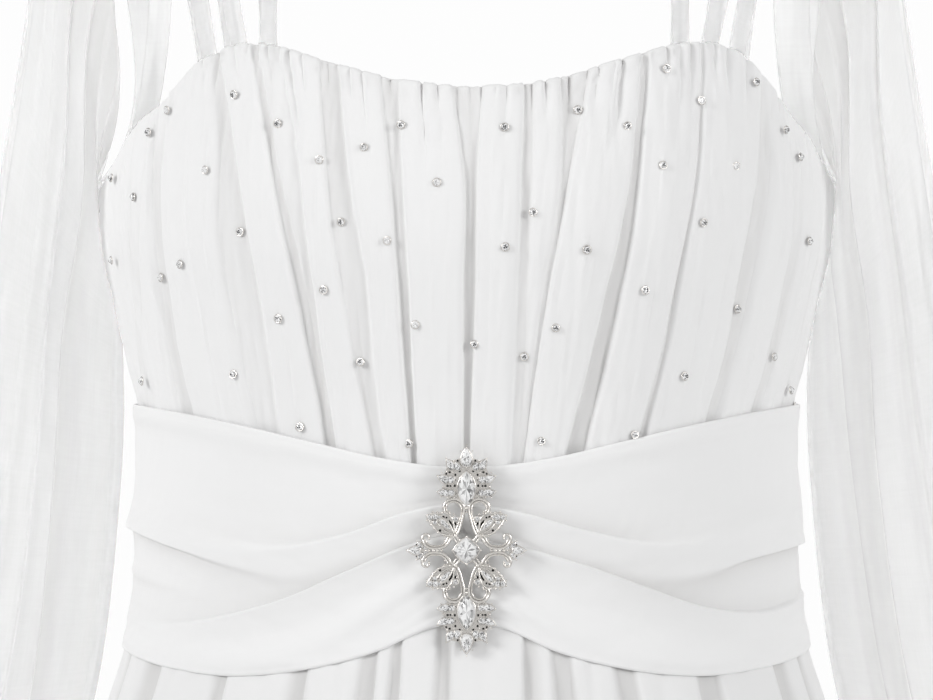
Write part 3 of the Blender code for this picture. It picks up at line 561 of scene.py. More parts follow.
# %% [markdown]
# ## The gathered front
#
# The front is much wider than the chest and is drawn up along the neckline.  Its folds are broad
# flat panels with narrow sunk strips between them, and the strips' edges are crisp.  Each row of
# the table below is one such edge: where it runs, from the waist up, how soft it is, and how deep
# the cloth lies to the right of it.  The grid's columns follow the edges, so a crisp edge needs
# few of them.

# %% Edges of the gathered front
# Upper edges of the front and the back: degrees, height in millimetres
FRONT_EDGE = (
    (-90, -177), (-78, -174), (-72, -166), (-66, -154.5), (-56, -143), (-48, -128.5), (-41, -122.6),
    (-35, -121.8), (-24, -128.1), (-12, -135.8), (0, -139), (12, -137), (25, -128.5), (36, -122),
    (43, -121.2), (50, -125.4), (56, -134.5), (61, -145.5), (70, -159.5), (80, -172), (90, -177),
)
BACK_EDGE = (
    (-90, -178.5), (-75, -173), (-48, -161), (-24, -165), (0, -168), (24, -165), (48, -161), (75, -173),
    (90, -178.5),
)

# Degrees from the front middle, upper and lower edge in millimetres
WAISTBAND_EDGES = (
    (0, -285.5, -345), (6, -284.8, -347.6), (15, -281.8, -356.8), (25, -276.9, -363), (40, -270.2, -366.8),
    (57, -265, -364.6), (75, -262.4, -360.6), (90, -261.6, -358),
)

# Degrees at five heights from the waist to the neckline, softness below and above in millimetres,
# then how far the cloth right of the edge stands out at the same five heights, in millimetres
# before FOLD_DEPTH scales it
FRONT_EDGES = (
    ((-79.8, -74.4, -68.9, -65.6, -66), (4, 4), (-0.6, -0.9, -1, -0.8, -0.3)),
    ((-76.7, -70.6, -64.5, -60.3, -59.8), (1.6, 1.2), (0.3, 0.3, 0.3, 0.2, 0)),
    ((-58.4, -59.8, -57.9, -57.5, -58.2), (3.2, 2.4), (-1.6, -1.9, -2, -1.8, -0.8)),
    ((-55.2, -55.9, -55.1, -54.8, -54.6), (1, 0.7), (0.1, 0.2, 0.2, 0.1, 0)),
    ((-38.6, -40.5, -41.6, -41.4, -45), (4, 1.6), (-1.3, -1.3, -1.8, -2.2, -1.6)),
    ((-34.3, -34.4, -35.5, -38.3, -43.4), (1.4, 0.6), (0.2, 0.3, 0.3, 0.2, 0)),
    ((-24.9, -26.8, -28.7, -32, -37), (0.6, 0.5), (-2.6, -2.6, -2.6, -2.4, -1.8)),
    ((-23.8, -25.4, -26.9, -30.7, -35.5), (1, 0.8), (-2.6, -2.3, -1.6, -1, -0.6)),
    ((-22.8, -24.3, -25, -26.5, -31.1), (0.5, 0.6), (0.1, 0.1, 0.2, 0.2, 0)),
    ((-15.6, -18.5, -20.3, -22, -24.1), (1.1, 0.5), (-2.3, -1.5, -1.6, -2.4, -1.8)),
    ((-13.8, -15.4, -15.9, -18.2, -20.6), (1.6, 0.7), (0.2, 0.3, 0.3, 0.2, 0)),
    ((-9.5, -10.4, -10.9, -11.7, -13.6), (0.6, 0.5), (-2.6, -2.6, -2.6, -2.2, -1.4)),
    ((-8.3, -8.9, -9, -9.6, -10.6), (0.6, 0.7), (0.1, 0.1, 0.1, 0.1, 0)),
    ((-0.7, -0.6, -0.6, -0.3, -2.1), (0.5, 0.5), (-2.8, -2.9, -2.9, -2.6, -1.6)),
    ((0.6, 1.1, 1.6, 1.7, 2.4), (0.6, 0.7), (0.2, 0.2, 0.2, 0.2, 0)),
    ((7.4, 8, 8.1, 8.3, 9.1), (1.6, 0.6), (-1.4, -1.3, -1.4, -2.4, -2)),
    ((8.4, 9.6, 9.6, 10, 10.5), (2, 0.8), (-1.2, -0.9, -0.6, 0, 0)),
    ((9, 10.8, 12.4, 14.4, 14.9), (1.4, 1), (-1.8, -1.7, -1.6, -2, -1.6)),
    ((9.8, 11.6, 13.4, 15.9, 19.7), (0.5, 0.5), (0.2, 0.2, 0.2, 0.2, 0)),
    ((16.6, 20.4, 23.2, 26.1, 28.8), (0.8, 0.5), (-2.8, -2.9, -2.9, -2.5, -1.8)),
    ((20.4, 23.8, 25.9, 27.8, 30.5), (0.5, 0.5), (0.2, 0.2, 0.1, 0.1, 0)),
    ((30.6, 33.7, 35.4, 38.3, 40.8), (0.5, 0.4), (-2.6, -2.6, -2.4, -2, -1.4)),
    ((32.2, 34.9, 36.1, 38.9, 41.6), (0.5, 0.4), (0.1, 0.1, 0.1, 0.1, 0)),
    ((45.3, 48.1, 48.6, 51.7, 54.6), (0.8, 1.2), (-2.2, -2.2, -2.2, -1.8, -0.6)),
    ((47.9, 51, 52.2, 54.7, 57), (2.4, 2.8), (0.5, 0.6, 0.7, 0.5, 0)),
    ((58.8, 60.6, 61, 61.2, 61.2), (1.6, 1.4), (-1.5, -1.8, -1.9, -1, -0.2)),
    ((61.6, 64.4, 65.3, 64.8, 64), (2.6, 2.4), (0.4, 0.4, 0.4, 0.3, 0)),
    ((72, 73, 73.6, 73.8, 72), (2.4, 2), (-0.8, -0.9, -0.9, -0.6, -0.3)),
)
FOLD_HEIGHTS = (0.0, 0.25, 0.5, 0.75, 1.0)

# Short gathers below the neckline: degrees, how far down they reach as a share of the height,
# half width, and depth in millimetres before GATHER_DEPTH scales it
GATHERS = (
    (-49.2, 0.06, 1, 0.5), (-46.8, 0.10, 1.2, 0.8), (-40.3, 0.12, 1.1, 0.8), (-33.8, 0.09, 0.9, 0.9),
    (-29.6, 0.22, 1.5, 1.4), (-27, 0.12, 1.1, 1.1), (-22.6, 0.10, 1.1, 0.7), (-18.6, 0.09, 0.9, 0.9),
    (-16.6, 0.17, 1.2, 1.3), (-12, 0.12, 2.4, 0.9), (-7.1, 0.21, 1.2, 1.2), (-4.6, 0.08, 1, 0.9),
    (0.5, 0.07, 0.9, 0.7), (4.5, 0.06, 0.9, 0.6), (6.3, 0.14, 1.6, 1.5), (12.4, 0.11, 1.1, 1),
    (16.6, 0.14, 1.6, 1.4), (21.4, 0.08, 1, 0.8), (24, 0.07, 0.9, 0.7), (25.6, 0.23, 2.2, 2),
    (34, 0.10, 1.2, 1), (36.6, 0.26, 1.6, 1), (38.9, 0.15, 1.3, 1.5), (43.8, 0.12, 1, 0.9),
    (46.8, 0.13, 1.6, 1.7), (51.2, 0.17, 1.5, 1.2), (59, 0.16, 1.6, 0.9), (67, 0.12, 1.6, 0.7),
)


def line_paths(table, levels):
    """Each edge's degrees at every level: a smooth curve through its five known places."""
    return np.stack([smooth(levels, FOLD_HEIGHTS, row[0]) for row in table])


def gather_paths(paths, top_degrees):
    """A gather keeps its share of the gap between the two edges beside it, all the way down."""
    found = np.clip(np.searchsorted(paths[:, -1], top_degrees) - 1, 0, len(paths) - 2)
    share = (top_degrees - paths[found, -1]) / (paths[found + 1, -1] - paths[found, -1])
    return paths[found] + (paths[found + 1] - paths[found]) * share[:, None]


def waistband_edge(degrees, index):
    """Height of the waistband's upper (1) or lower (2) edge in metres."""
    return along_table(np.abs(degrees), WAISTBAND_EDGES, index)


print("edges in the gathered front:", len(FRONT_EDGES), "and short gathers:", len(GATHERS))

# %% [markdown]
# ### From edges to a surface
#
# The lift is added up from parts, and each does what one thing does to real cloth: a step at an
# edge, a furrow at a gather, tiny pleats along the drawn-up neckline, and faint crinkles.  The
# panel runs on behind the waistband, and its top is rolled inwards.

# %% Parts of the front's surface
# How far a panel runs on behind the band, how far in it lies there, and over what height it comes
# out again
TUCK, BODICE_INSET, BLEND_OUT = 8.0 * MM, 0.8 * MM, 14.0 * MM

# The depth in millimetres that is fully shaded, the share of each edge's depth in the table that is
# used, and the degrees beside a side seam over which the lift dies out
FULL_SHADE, FOLD_DEPTH, SEAM_BLEND = 2.0, 0.74, 4.0

# A panel's roundness as a share of its width, the most of it, and the crest beside a step:
# its height, distance and width, in millimetres
ROUNDNESS = 0.055
MOST_ROUND = 0.9
RIM_HEIGHT, RIM_AWAY, RIM_WIDTH = 0.34, 0.5, 1.5

# Gathers: how deep against the table, height of the lips beside them, and the tiny pleats' pitch in
# millimetres and depth along the neckline, where they start as a share of the height
GATHER_DEPTH, LIP_HEIGHT = 1.3, 0.35
EDGE_PLEAT, EDGE_PLEAT_DEPTH, EDGE_PLEAT_FROM = 3.1, 1.3, 0.91

# The degrees where the tiny pleats begin to die out, and over how many they do
PLEATED_TO, PLEATED_OVER = 46.0, 10.0


def panel_bulge(degrees, paths, scale):
    """Each panel between two edges is a little round: a half sine across, higher where it is wide."""
    bulge = np.zeros(degrees.shape)
    for left, right in zip(paths[:-1], paths[1:]):
        width = (right - left)[:, None]
        share = (degrees - left[:, None]) / width
        inside = (share > 0.0) & (share < 1.0)
        high = np.clip(ROUNDNESS * width * scale, 0.0, MOST_ROUND)
        bulge += np.where(inside, high * np.sin(np.pi * np.clip(share, 0.0, 1.0))**0.8, 0.0)
    return bulge


def panel_heights(upper, band_top, levels):
    """Heights of a panel's rows, from the tuck behind the band up to the panel's edge."""
    lower = band_top - TUCK
    return lower + (upper - lower) * levels[:, None]


def tucked_in(lift, height, band_top):
    """The lift in metres, drawn in a little where the panel runs behind the band."""
    return lift * MM - BODICE_INSET * ease((band_top + BLEND_OUT - height) / BLEND_OUT)


def with_crest(sheet, behind, arc, steps, rise, flatter, drop):
    """A panel (degrees, height, lift, shade) with its top edge rolled inwards through an arc.

    At the angle t of the roll the edge is rise sin t higher and drop (1 - cos t) further in.
    """
    degrees, height, lift, shade = sheet
    t = np.linspace(0.0, arc, steps)[1:, None]
    crest_height = height[-1] + rise * np.sin(t)
    crest_lift = lift[-1] * (1 - flatter * np.sin(t)) - drop * (1 - np.cos(t))
    wide = np.broadcast_to(degrees[-1], crest_height.shape)
    points = np.concatenate([body_point(degrees + behind, height, lift),
                             body_point(wide + behind, crest_height, crest_lift)])
    shade = np.concatenate([shade, np.broadcast_to(shade[-1], crest_height.shape)])
    return points, shade, crest_height[-1], crest_lift[-1]


def add_steps(lift, degrees, scale, levels, edges):
    """Add each edge's smooth step to the lift, with a faint crest along its high side."""
    before = np.zeros(len(levels))
    for path, (_, soft, depths) in zip(edges, FRONT_EDGES):
        after = FOLD_DEPTH * smooth(levels, FOLD_HEIGHTS, depths)
        softness = soft[0] + (soft[1] - soft[0]) * levels[:, None]
        distance = (degrees - path[:, None]) * scale
        high_side = np.where((after > before)[:, None], distance, -distance)
        jump = np.abs(after - before)[:, None]
        lift += (after - before)[:, None] * ease(distance / (2 * softness) + 0.5)
        lift += RIM_HEIGHT * np.minimum(jump / 2, 1.0) * bell(high_side - softness - RIM_AWAY, RIM_WIDTH)
        before = after


def add_gathers(lift, degrees, scale, levels, gathers):
    """Sink a furrow at each gather, with lips beside it; both fade down from the neckline."""
    for path, (_, reach, width, depth) in zip(gathers, GATHERS):
        fade = (np.clip((levels - 1 + reach) / reach, 0.0, 1.0)**0.8)[:, None]
        distance = (degrees - path[:, None]) * scale
        lift -= GATHER_DEPTH * depth * fade * bell(distance, width * (0.5 + 0.8 * (1 - fade)), 1.6)
        lift += LIP_HEIGHT * depth * fade**2 * bell(np.abs(distance) - 2.4 * width, 1.3 * width)


def edge_pleats(degrees, across, rows):
    """Depth of the tiny pleats along the neckline: sharp valleys between round tops."""
    near_edge = np.clip((rows - EDGE_PLEAT_FROM) / (1 - EDGE_PLEAT_FROM), 0.0, 1.0)**1.4
    place = across / EDGE_PLEAT + 0.35 * soft_noise(across, 0.0 * across, 6, 6, 11.0, 50.0)
    pleated = ease((PLEATED_TO + PLEATED_OVER - np.abs(degrees)) / PLEATED_OVER)
    return EDGE_PLEAT_DEPTH * (1 - np.abs(np.sin(np.pi * place)))**1.3 * near_edge * pleated


print("share of the edges' depth used:", FOLD_DEPTH)

# %% [markdown]
# ### The front as one sheet
#
# The grid's rows get closer towards the neckline, where the gathers are.  All parts of the lift
# are added on it, then three sizes of crinkles, since no chiffon lies perfectly smooth.

# %% The front's surface
# The grid: rows below and above the share where they get closer, millimetres in a degree and
# between columns, and the fewest columns in a gap
ROWS_BELOW, ROWS_ABOVE, CLOSER_FROM = 44, 22, 0.86
COLUMN_LENGTH, COLUMN_STEP, FEWEST_COLUMNS = 2.2, 1.05, 5

# Crinkles: height, seed, waves, and sizes across and along in millimetres
ACROSS_DEGREE, PANEL_TALL = 2.3, 130.0
CRINKLES = ((0.24, 3, 14, 9, 60), (0.15, 4, 16, 3, 22), (0.07, 5, 18, 9, 15))


def front_surface():
    """Degrees, height, lift and painted fold shade of the front.

    The lift is the sum of smooth steps, one at each edge, less a rounded furrow at each gather that
    fades with the distance from the neckline, plus faint crinkles that run along the folds.
    """
    levels = np.concatenate([np.linspace(0.0, CLOSER_FROM, ROWS_BELOW)[:-1],
                             np.linspace(CLOSER_FROM, 1.0, ROWS_ABOVE)])
    rows = levels[:, None]
    first = np.full((1, len(levels)), -SEAM_ANGLE)
    edges = line_paths(FRONT_EDGES, levels)
    paths = np.concatenate([first, edges, -first])
    gathers = gather_paths(paths, column(GATHERS, 0))
    knots = np.concatenate([paths, gathers])
    knots = np.maximum.accumulate(knots[np.argsort(knots[:, -1])], axis=0)
    degrees = spread(knots, counts_for(knots, COLUMN_LENGTH, COLUMN_STEP, FEWEST_COLUMNS)).T
    band_top = waistband_edge(degrees, 1)
    height = panel_heights(along_table(degrees, FRONT_EDGE), band_top, levels)
    scale = degree_length(degrees, height) / MM
    lift = panel_bulge(degrees, paths, scale)
    add_steps(lift, degrees, scale, levels, edges)
    add_gathers(lift, degrees, scale, levels, gathers)
    across = degrees * ACROSS_DEGREE
    along = rows * PANEL_TALL + 0.0 * degrees
    lift -= edge_pleats(degrees, across, rows)
    for (high, *noise), share in zip(CRINKLES, (1.0, ease((rows - 0.45) / 0.5), 1.0)):
        lift += high * share * soft_noise(across, along, *noise)
    lift *= ease((90.0 - np.abs(degrees)) / SEAM_BLEND)
    return degrees, height, tucked_in(lift, height, band_top), np.clip(-lift / FULL_SHADE, 0.0, 1.1)


front_sheet = front_surface()
front_degrees, front_lift = front_sheet[0][-1], front_sheet[2][-1]
sunk = np.clip(-front_lift / MM, -0.5, 1.3)
front_points, front_shade, crest_height, crest_lift = with_crest(
    front_sheet, behind=0.0, arc=np.pi / 2, steps=8,
    rise=(1 - 0.5 * sunk) * MM, flatter=0.3, drop=1.2 * MM)
dress("bodice_front", front_points, LINED, "bodice", front_shade)
print("front grid:", front_points.shape[:2])

# %% [markdown]
# ## The turned-in neckline
#
# The front's edge is turned to the inside and stitched there, over the straps' ends.

# %% Turned-in edge
# How far the edge is turned in, and the room it leaves for the straps' ends
TURN_DEPTH, STRAP_ROOM = 8.0 * MM, 0.55 * MM
turned = np.linspace(0.0, 1.0, 6)[:, None]
inside_height = crest_height - 0.5 * MM - TURN_DEPTH * turned
inside_lift = np.minimum(crest_lift, -0.9 * MM) - STRAP_ROOM - 0.12 * MM * np.sin(np.pi * turned)
turned_points = body_point(front_degrees + 0.0 * turned, inside_height, inside_lift)
turned_edge = cloth_shell("neckline_turned_edge", turned_points[:, 3:-3], LINED, "bodice",
                          thickness=0.3 * MM)
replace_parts(turned_edge, "neckline_edge")
print("turned edge:", round(TURN_DEPTH / MM, 1), "mm deep")

# %% [markdown]
# ## The back
#
# The back is gathered as well, more evenly and less deeply.

# %% Back panel
BACK_GATHERS = 21
BACK_ROWS, BACK_COLUMNS = 50, 12
BACK_FULL_SHADE = 2.6

# Gathers: how far each is off its even place in degrees, how much closer they lie at the waist as a
# share, and the least and most of their depth and half width in millimetres
OFF_PLACE = 1.6
WAIST_CLOSER = 0.14
BACK_DEPTHS, BACK_WIDTHS = (1.2, 2.6), (1.4, 3.0)


def back_surface():
    """Even gathers: the lift falls into a narrow valley at each line and is round between them."""
    levels = np.linspace(0.0, 1.0, BACK_ROWS)
    rows = levels[:, None]
    draw = np.random.default_rng(21)
    top = np.linspace(-SEAM_ANGLE, SEAM_ANGLE, BACK_GATHERS + 2)
    top[1:-1] += draw.uniform(-OFF_PLACE, OFF_PLACE, BACK_GATHERS)
    waist = top * (1 - WAIST_CLOSER * (1 - np.abs(top) / SEAM_ANGLE))
    knots = waist[:, None] * (1 - levels) + top[:, None] * levels
    degrees = spread(knots, np.full(BACK_GATHERS + 1, BACK_COLUMNS)).T
    band_top = waistband_edge(90.0 + 0.0 * degrees, 1)
    height = panel_heights(along_table(degrees, BACK_EDGE), band_top, levels)
    scale = degree_length(degrees + 180.0, height) / MM
    lift = np.zeros(degrees.shape)
    depth = draw.uniform(*BACK_DEPTHS, BACK_GATHERS)
    width = draw.uniform(*BACK_WIDTHS, BACK_GATHERS)
    for path, deep, wide in zip(knots[1:-1], depth, width):
        lift -= deep * bell((degrees - path[:, None]) * scale, wide, 1.5)
    lift += 0.15 * soft_noise(degrees * 2.0, rows * 110.0, 23, 14, 8.0, 50.0)
    lift *= (0.55 + 0.45 * np.sin(np.pi * rows)) * ease((90.0 - np.abs(degrees)) / SEAM_BLEND)
    return degrees, height, tucked_in(lift, height, band_top), np.clip(-lift / BACK_FULL_SHADE, 0.0, 1.0)


back_points, back_shade, _, _ = with_crest(
    back_surface(), behind=180.0, arc=0.8 * np.pi, steps=6, rise=1.2 * MM, flatter=0.0, drop=0.35 * MM)
dress("bodice_back", back_points, LINED, "bodice", back_shade)
print("back grid:", back_points.shape[:2])

# %% [markdown]
# ## The draped waistband
#
# A wide band is pinned up at its middle, so its cloth hangs in swags from there to the side seams.
# A ridge is round on both sides.  A ledge is the folded edge of a tuck: the cloth stands out on one
# side of the line and falls away slowly, and on the other side it lies low and in shade.  Each
# table gives a path as a share of the band's height at nine angles from the front middle, then
# heights and widths in millimetres at five angles.

# %% Swags of the waistband
SWAG_ANGLES = (0, 5, 12, 20, 30, 42, 55, 70, 90)
SWAG_STATIONS = (0, 18, 36, 58, 90)

# Ridges: path, height, width above, width below
LEFT_RIDGES = (
    ((0.25, 0.282, 0.332, 0.425, 0.492, 0.504, 0.494, 0.486, 0.482), (0.2, 0.3, 1.2, 2.2, 1.2),
     (3, 5, 9, 11, 8), (4, 6, 8, 6, 4)),
    ((0.58, 0.592, 0.640, 0.737, 0.812, 0.857, 0.900, 0.905, 0.905), (-0.5, -0.9, -1.1, -0.9, -0.4),
     (4, 6, 6, 5, 4), (4, 6, 6, 5, 4)),
    ((0.65, 0.672, 0.740, 0.848, 0.921, 0.942, 0.950, 0.950, 0.950), (2.2, 2, 1.4, 0.8, 0.3),
     (4, 6, 6, 4, 3), (4, 5, 5, 4, 3)),
    ((0.05,) * 9, (0.6, 0.7, 0.8, 0.9, 0.5), (3,) * 5, (3,) * 5),
    ((0.12, 0.12, 0.12, 0.12, 0.12, 0.11, 0.10, 0.09, 0.09), (-0.3, -0.2, -0.2, -0.6, -0.5), (4,) * 5,
     (5, 6, 8, 9, 8)),
)
RIGHT_RIDGES = (
    ((0.25, 0.275, 0.322, 0.395, 0.462, 0.482, 0.452, 0.428, 0.414), (0.2, 0.4, 1.4, 2.3, 1.2),
     (3, 5, 7, 11, 10), (4, 6, 9, 9, 9)),
    ((0.65, 0.661, 0.674, 0.734, 0.789, 0.842, 0.877, 0.884, 0.885), (-0.5, -0.9, -1.1, -0.9, -0.3),
     (5, 7, 7, 6, 5), (5, 7, 7, 6, 5)),
    ((0.84, 0.853, 0.865, 0.906, 0.936, 0.950, 0.953, 0.943, 0.942), (1.6, 1.6, 1.2, 0.8, 0.3),
     (5, 6, 6, 4, 3), (4, 4, 4, 4, 3)),
    ((0.05,) * 9, (0.6, 0.6, 0.5, 0.5, 0.4), (3,) * 5, (3,) * 5),
)

# Ledges: which side stands out (+1 below the line, -1 above it), path, width of the step, height,
# width of the slow fall, shade on the low side, width of that shade
LEFT_LEDGES = (
    (1, (0.22, 0.248, 0.300, 0.389, 0.455, 0.474, 0.464, 0.456, 0.454), (1.1, 1.2, 3.5, 11, 12),
     (2.2, 2.6, 2, 0.9, 0.3), (6, 9, 9, 8, 6), (0.75, 0.70, 0.38, 0.15, 0.05), (3, 4, 8, 9, 9)),
    (-1, (0.40, 0.412, 0.439, 0.530, 0.600, 0.571, 0.537, 0.508, 0.499), (9, 8, 4.5, 1.1, 1),
     (0, 0, 0.9, 2.4, 2.8), (6, 6, 8, 9, 7), (0, 0.25, 0.55, 0.95, 0.9), (8, 8, 7, 4.5, 3)),
    (1, (0.43, 0.450, 0.490, 0.570, 0.672, 0.752, 0.816, 0.842, 0.848), (1.1, 1.1, 1.3, 3, 8),
     (2, 3, 3.2, 1.8, 0.5), (6, 9, 10, 9, 6), (0.8, 0.8, 0.55, 0.35, 0.1), (3, 4, 6, 7, 7)),
    (-1, (0.70, 0.70, 0.70, 0.70, 0.70, 0.702, 0.704, 0.690, 0.680), (6, 6, 6, 3, 1.4),
     (0, 0, 0, 0.3, 1.4), (6, 6, 6, 6, 5), (0, 0, 0, 0.25, 0.7), (3,) * 5),
)
RIGHT_LEDGES = (
    (1, (0.245, 0.262, 0.306, 0.376, 0.440, 0.461, 0.427, 0.405, 0.400), (1.1, 1.2, 3.5, 11, 12),
     (2.2, 3, 1.8, 0.3, 0), (6, 9, 9, 8, 6), (0.8, 1, 0.45, 0.15, 0), (3, 5, 8, 9, 9)),
    (-1, (0.44, 0.452, 0.466, 0.520, 0.605, 0.608, 0.573, 0.563, 0.571), (9, 8, 6, 1.2, 1),
     (0, 0, 0.4, 2.6, 3), (6, 6, 8, 10, 9), (0, 0.2, 0.65, 1.15, 1), (8, 8, 7, 5, 3.5)),
    (1, (0.47, 0.486, 0.495, 0.545, 0.627, 0.722, 0.778, 0.784, 0.768), (1.1, 1.1, 1.1, 1.6, 2),
     (2, 2.8, 3.4, 2.6, 1.2), (6, 9, 10, 10, 7), (0.8, 0.85, 0.75, 0.55, 0.4), (3, 4, 6, 7, 7)),
)

# Short puckers that leave the ornament: side, share of the height, rise in share over ten
# degrees, depth before PUCKER_DEPTH scales it and half width in millimetres, reach in degrees
PUCKERS = (
    (-1, 0.10, 0.01, 0.5, 1.4, 11), (-1, 0.19, 0.05, 0.6, 1.2, 9), (-1, 0.355, 0.12, 0.9, 1.2, 10),
    (-1, 0.40, 0.10, 1.1, 0.9, 8), (-1, 0.545, 0.14, 0.9, 1.3, 9), (-1, 0.66, 0.13, 1.3, 1.2, 7),
    (-1, 0.78, 0.10, 1.2, 1.2, 7), (-1, 0.90, 0.06, 0.8, 1, 8), (1, 0.10, 0.02, 0.5, 1.4, 11),
    (1, 0.19, 0.04, 0.6, 1.2, 9), (1, 0.36, 0.10, 1, 1.2, 10), (1, 0.43, 0.10, 1.1, 0.9, 9),
    (1, 0.60, 0.16, 1.2, 1.2, 9), (1, 0.70, 0.18, 1.3, 1.3, 8), (1, 0.83, 0.10, 0.9, 1.2, 7),
    (1, 0.93, 0.04, 0.7, 1, 8),
)
PUCKER_DEPTH, PUCKER_SHADE = 1.3, 0.35

# The band's cushion: how far it stands out at its edges and, added to that, at its middle; then how
# far the cloth rolls in at both edges and over what height, all in millimetres
BAND_OUT, BAND_ROUND = 2.0, 0.7
ROLL_IN, ROLL_HEIGHT = 0.9, 1.1

# The swags die out over so many millimetres at the band's edges, and over so many degrees before
# an angle at its sides; the least that the cloth stands out; crinkles as for the front
EDGE_CALM, SIDE_BLEND, SIDE_CALM, LEAST_OUT = 4.0, 9.0, 93.0, 0.9
BAND_CRINKLES = ((0.12, 31, 14, 40, 12), (0.05, 32, 18, 11, 9))

# The grid: columns from seam to seam, and rows between its edges and the three ledges
BAND_COLUMNS, BAND_ROWS = 301, (28, 22, 22, 31)
BACK_BAND_COLUMNS, BACK_BAND_ROWS = 180, 60


def swag_form(degrees, share, tall, ridges, ledges):
    """Lift and shade of one side of the band in millimetres.

    A ridge is height times exp(-|d / width|^1.7) with d the distance from its line.  A ledge is
    height times exp(-d / fall) on its high side and nothing on the low one, joined by a short step;
    its shade is strongest at the step and fades over the shade's width.
    """
    angle = np.abs(degrees)
    lift = np.zeros(degrees.shape)
    shade = np.zeros(degrees.shape)

    def at(values):
        """A size in millimetres at every angle."""
        return smooth(angle, SWAG_STATIONS, values)

    def away(path):
        """Distance below a path in millimetres."""
        return (share - smooth(angle, SWAG_ANGLES, path)) * tall

    for path, high, above, below in ridges:
        distance = away(path)
        lift += at(high) * bell(distance, np.where(distance < 0.0, at(above), at(below)), 1.7)
    for side, path, soft, high, fall, dark, dark_width in ledges:
        distance = side * away(path)
        step = ease(distance / at(soft) + 0.5)
        lift += at(high) * step * np.exp(-np.maximum(distance - 0.4, 0.0) / at(fall))
        shade += at(dark) * np.exp(np.minimum(distance, 0.0) / at(dark_width)) * (1 - step)
    return lift, shade


def roll_in(to_edge):
    """How far the band's cloth has rolled in at a distance from its edge, in millimetres."""
    return ROLL_IN * (1 - np.clip(to_edge / ROLL_HEIGHT, 0.0, 1.0))**2


def waistband_surface():
    """Points, shade and ends of the band's front, the last for the back to carry on from.

    The lift is a low cushion, the swags of the side it is on, puckers and faint crinkles.
    """
    degrees = np.linspace(-SEAM_ANGLE, SEAM_ANGLE, BAND_COLUMNS)
    angle = np.abs(degrees)
    picked = []
    for ledges in zip(LEFT_LEDGES, RIGHT_LEDGES):
        left, right = (smooth(angle, SWAG_ANGLES, ledge[1]) for ledge in ledges)
        picked.append(np.where(degrees < 0.0, left, right))
    ends = np.zeros((1, len(degrees)))
    knots = np.concatenate([ends, np.sort(picked, axis=0), ends + 1.0])
    for row in (2, 3):
        knots[row] = np.maximum(knots[row], knots[row - 1] + 0.01)
    share = spread(knots, BAND_ROWS)
    upper = waistband_edge(degrees, 1)
    lower = waistband_edge(degrees, 2)
    wide = np.broadcast_to(degrees, share.shape)
    tall = np.broadcast_to((upper - lower) / MM, share.shape)
    blend = ease(wide / 5.0 + 0.5)
    left = swag_form(wide, share, tall, LEFT_RIDGES, LEFT_LEDGES)
    right = swag_form(wide, share, tall, RIGHT_RIDGES, RIGHT_LEDGES)
    lift, shade = ((1 - blend) * a + blend * b for a, b in zip(left, right))
    for side, start, rise, deep, width, reach in PUCKERS:
        centre = start + rise * side * wide / 10.0
        near = bell(wide, reach) * (side * wide > 0)
        pucker = deep * near * bell((share - centre) * tall, width)
        lift -= PUCKER_DEPTH * pucker
        shade += PUCKER_SHADE * pucker
    to_edge = np.minimum(share, 1 - share) * tall
    lift = lift * ease(to_edge / EDGE_CALM) * ease((SIDE_CALM - np.abs(wide)) / SIDE_BLEND)
    lift += BAND_OUT + BAND_ROUND * np.sin(np.pi * share)
    for high, *noise in BAND_CRINKLES:
        lift += high * soft_noise(wide * ACROSS_DEGREE, share * tall, *noise)
    lift = np.maximum(lift - roll_in(to_edge), LEAST_OUT)
    shade = np.clip(shade, 0.0, 1.2)
    ends = [(share[:, side], lift[:, side], shade[:, side]) for side in (0, -1)]
    return body_point(wide, upper + (lower - upper) * share, lift * MM), shade, ends


band_points, band_shade, band_ends = waistband_surface()
dress("waistband_front", band_points, DRAPED, "waistband", band_shade)
print("waistband grid:", band_points.shape[:2])

# %% [markdown]
# ### The band's back
#
# Nothing pins the band up behind, so its tucks lie level, and only sag a little at the middle.

# %% Back of the waistband
# Share of the height, then height and half width in millimetres
BACK_SWAGS = (
    (0.06, 0.9, 2), (0.24, 2.2, 6), (0.42, 1.5, 3.6), (0.61, 2.4, 6), (0.78, 1.5, 3.6), (0.93, 1.2, 3),
)

# How far the ridges sag as a share of the height; the degrees where they start to turn into the
# front's own and where they have; the shade's strength, and the lift in millimetres that it begins
# below and the fall that makes it full
BACK_SAG = 0.05
TURNS_FROM, TURNED_AT = 62.0, 89.0
BACK_SHADE, SHADED_BELOW, SHADE_FALL = 0.7, 3.6, 1.5


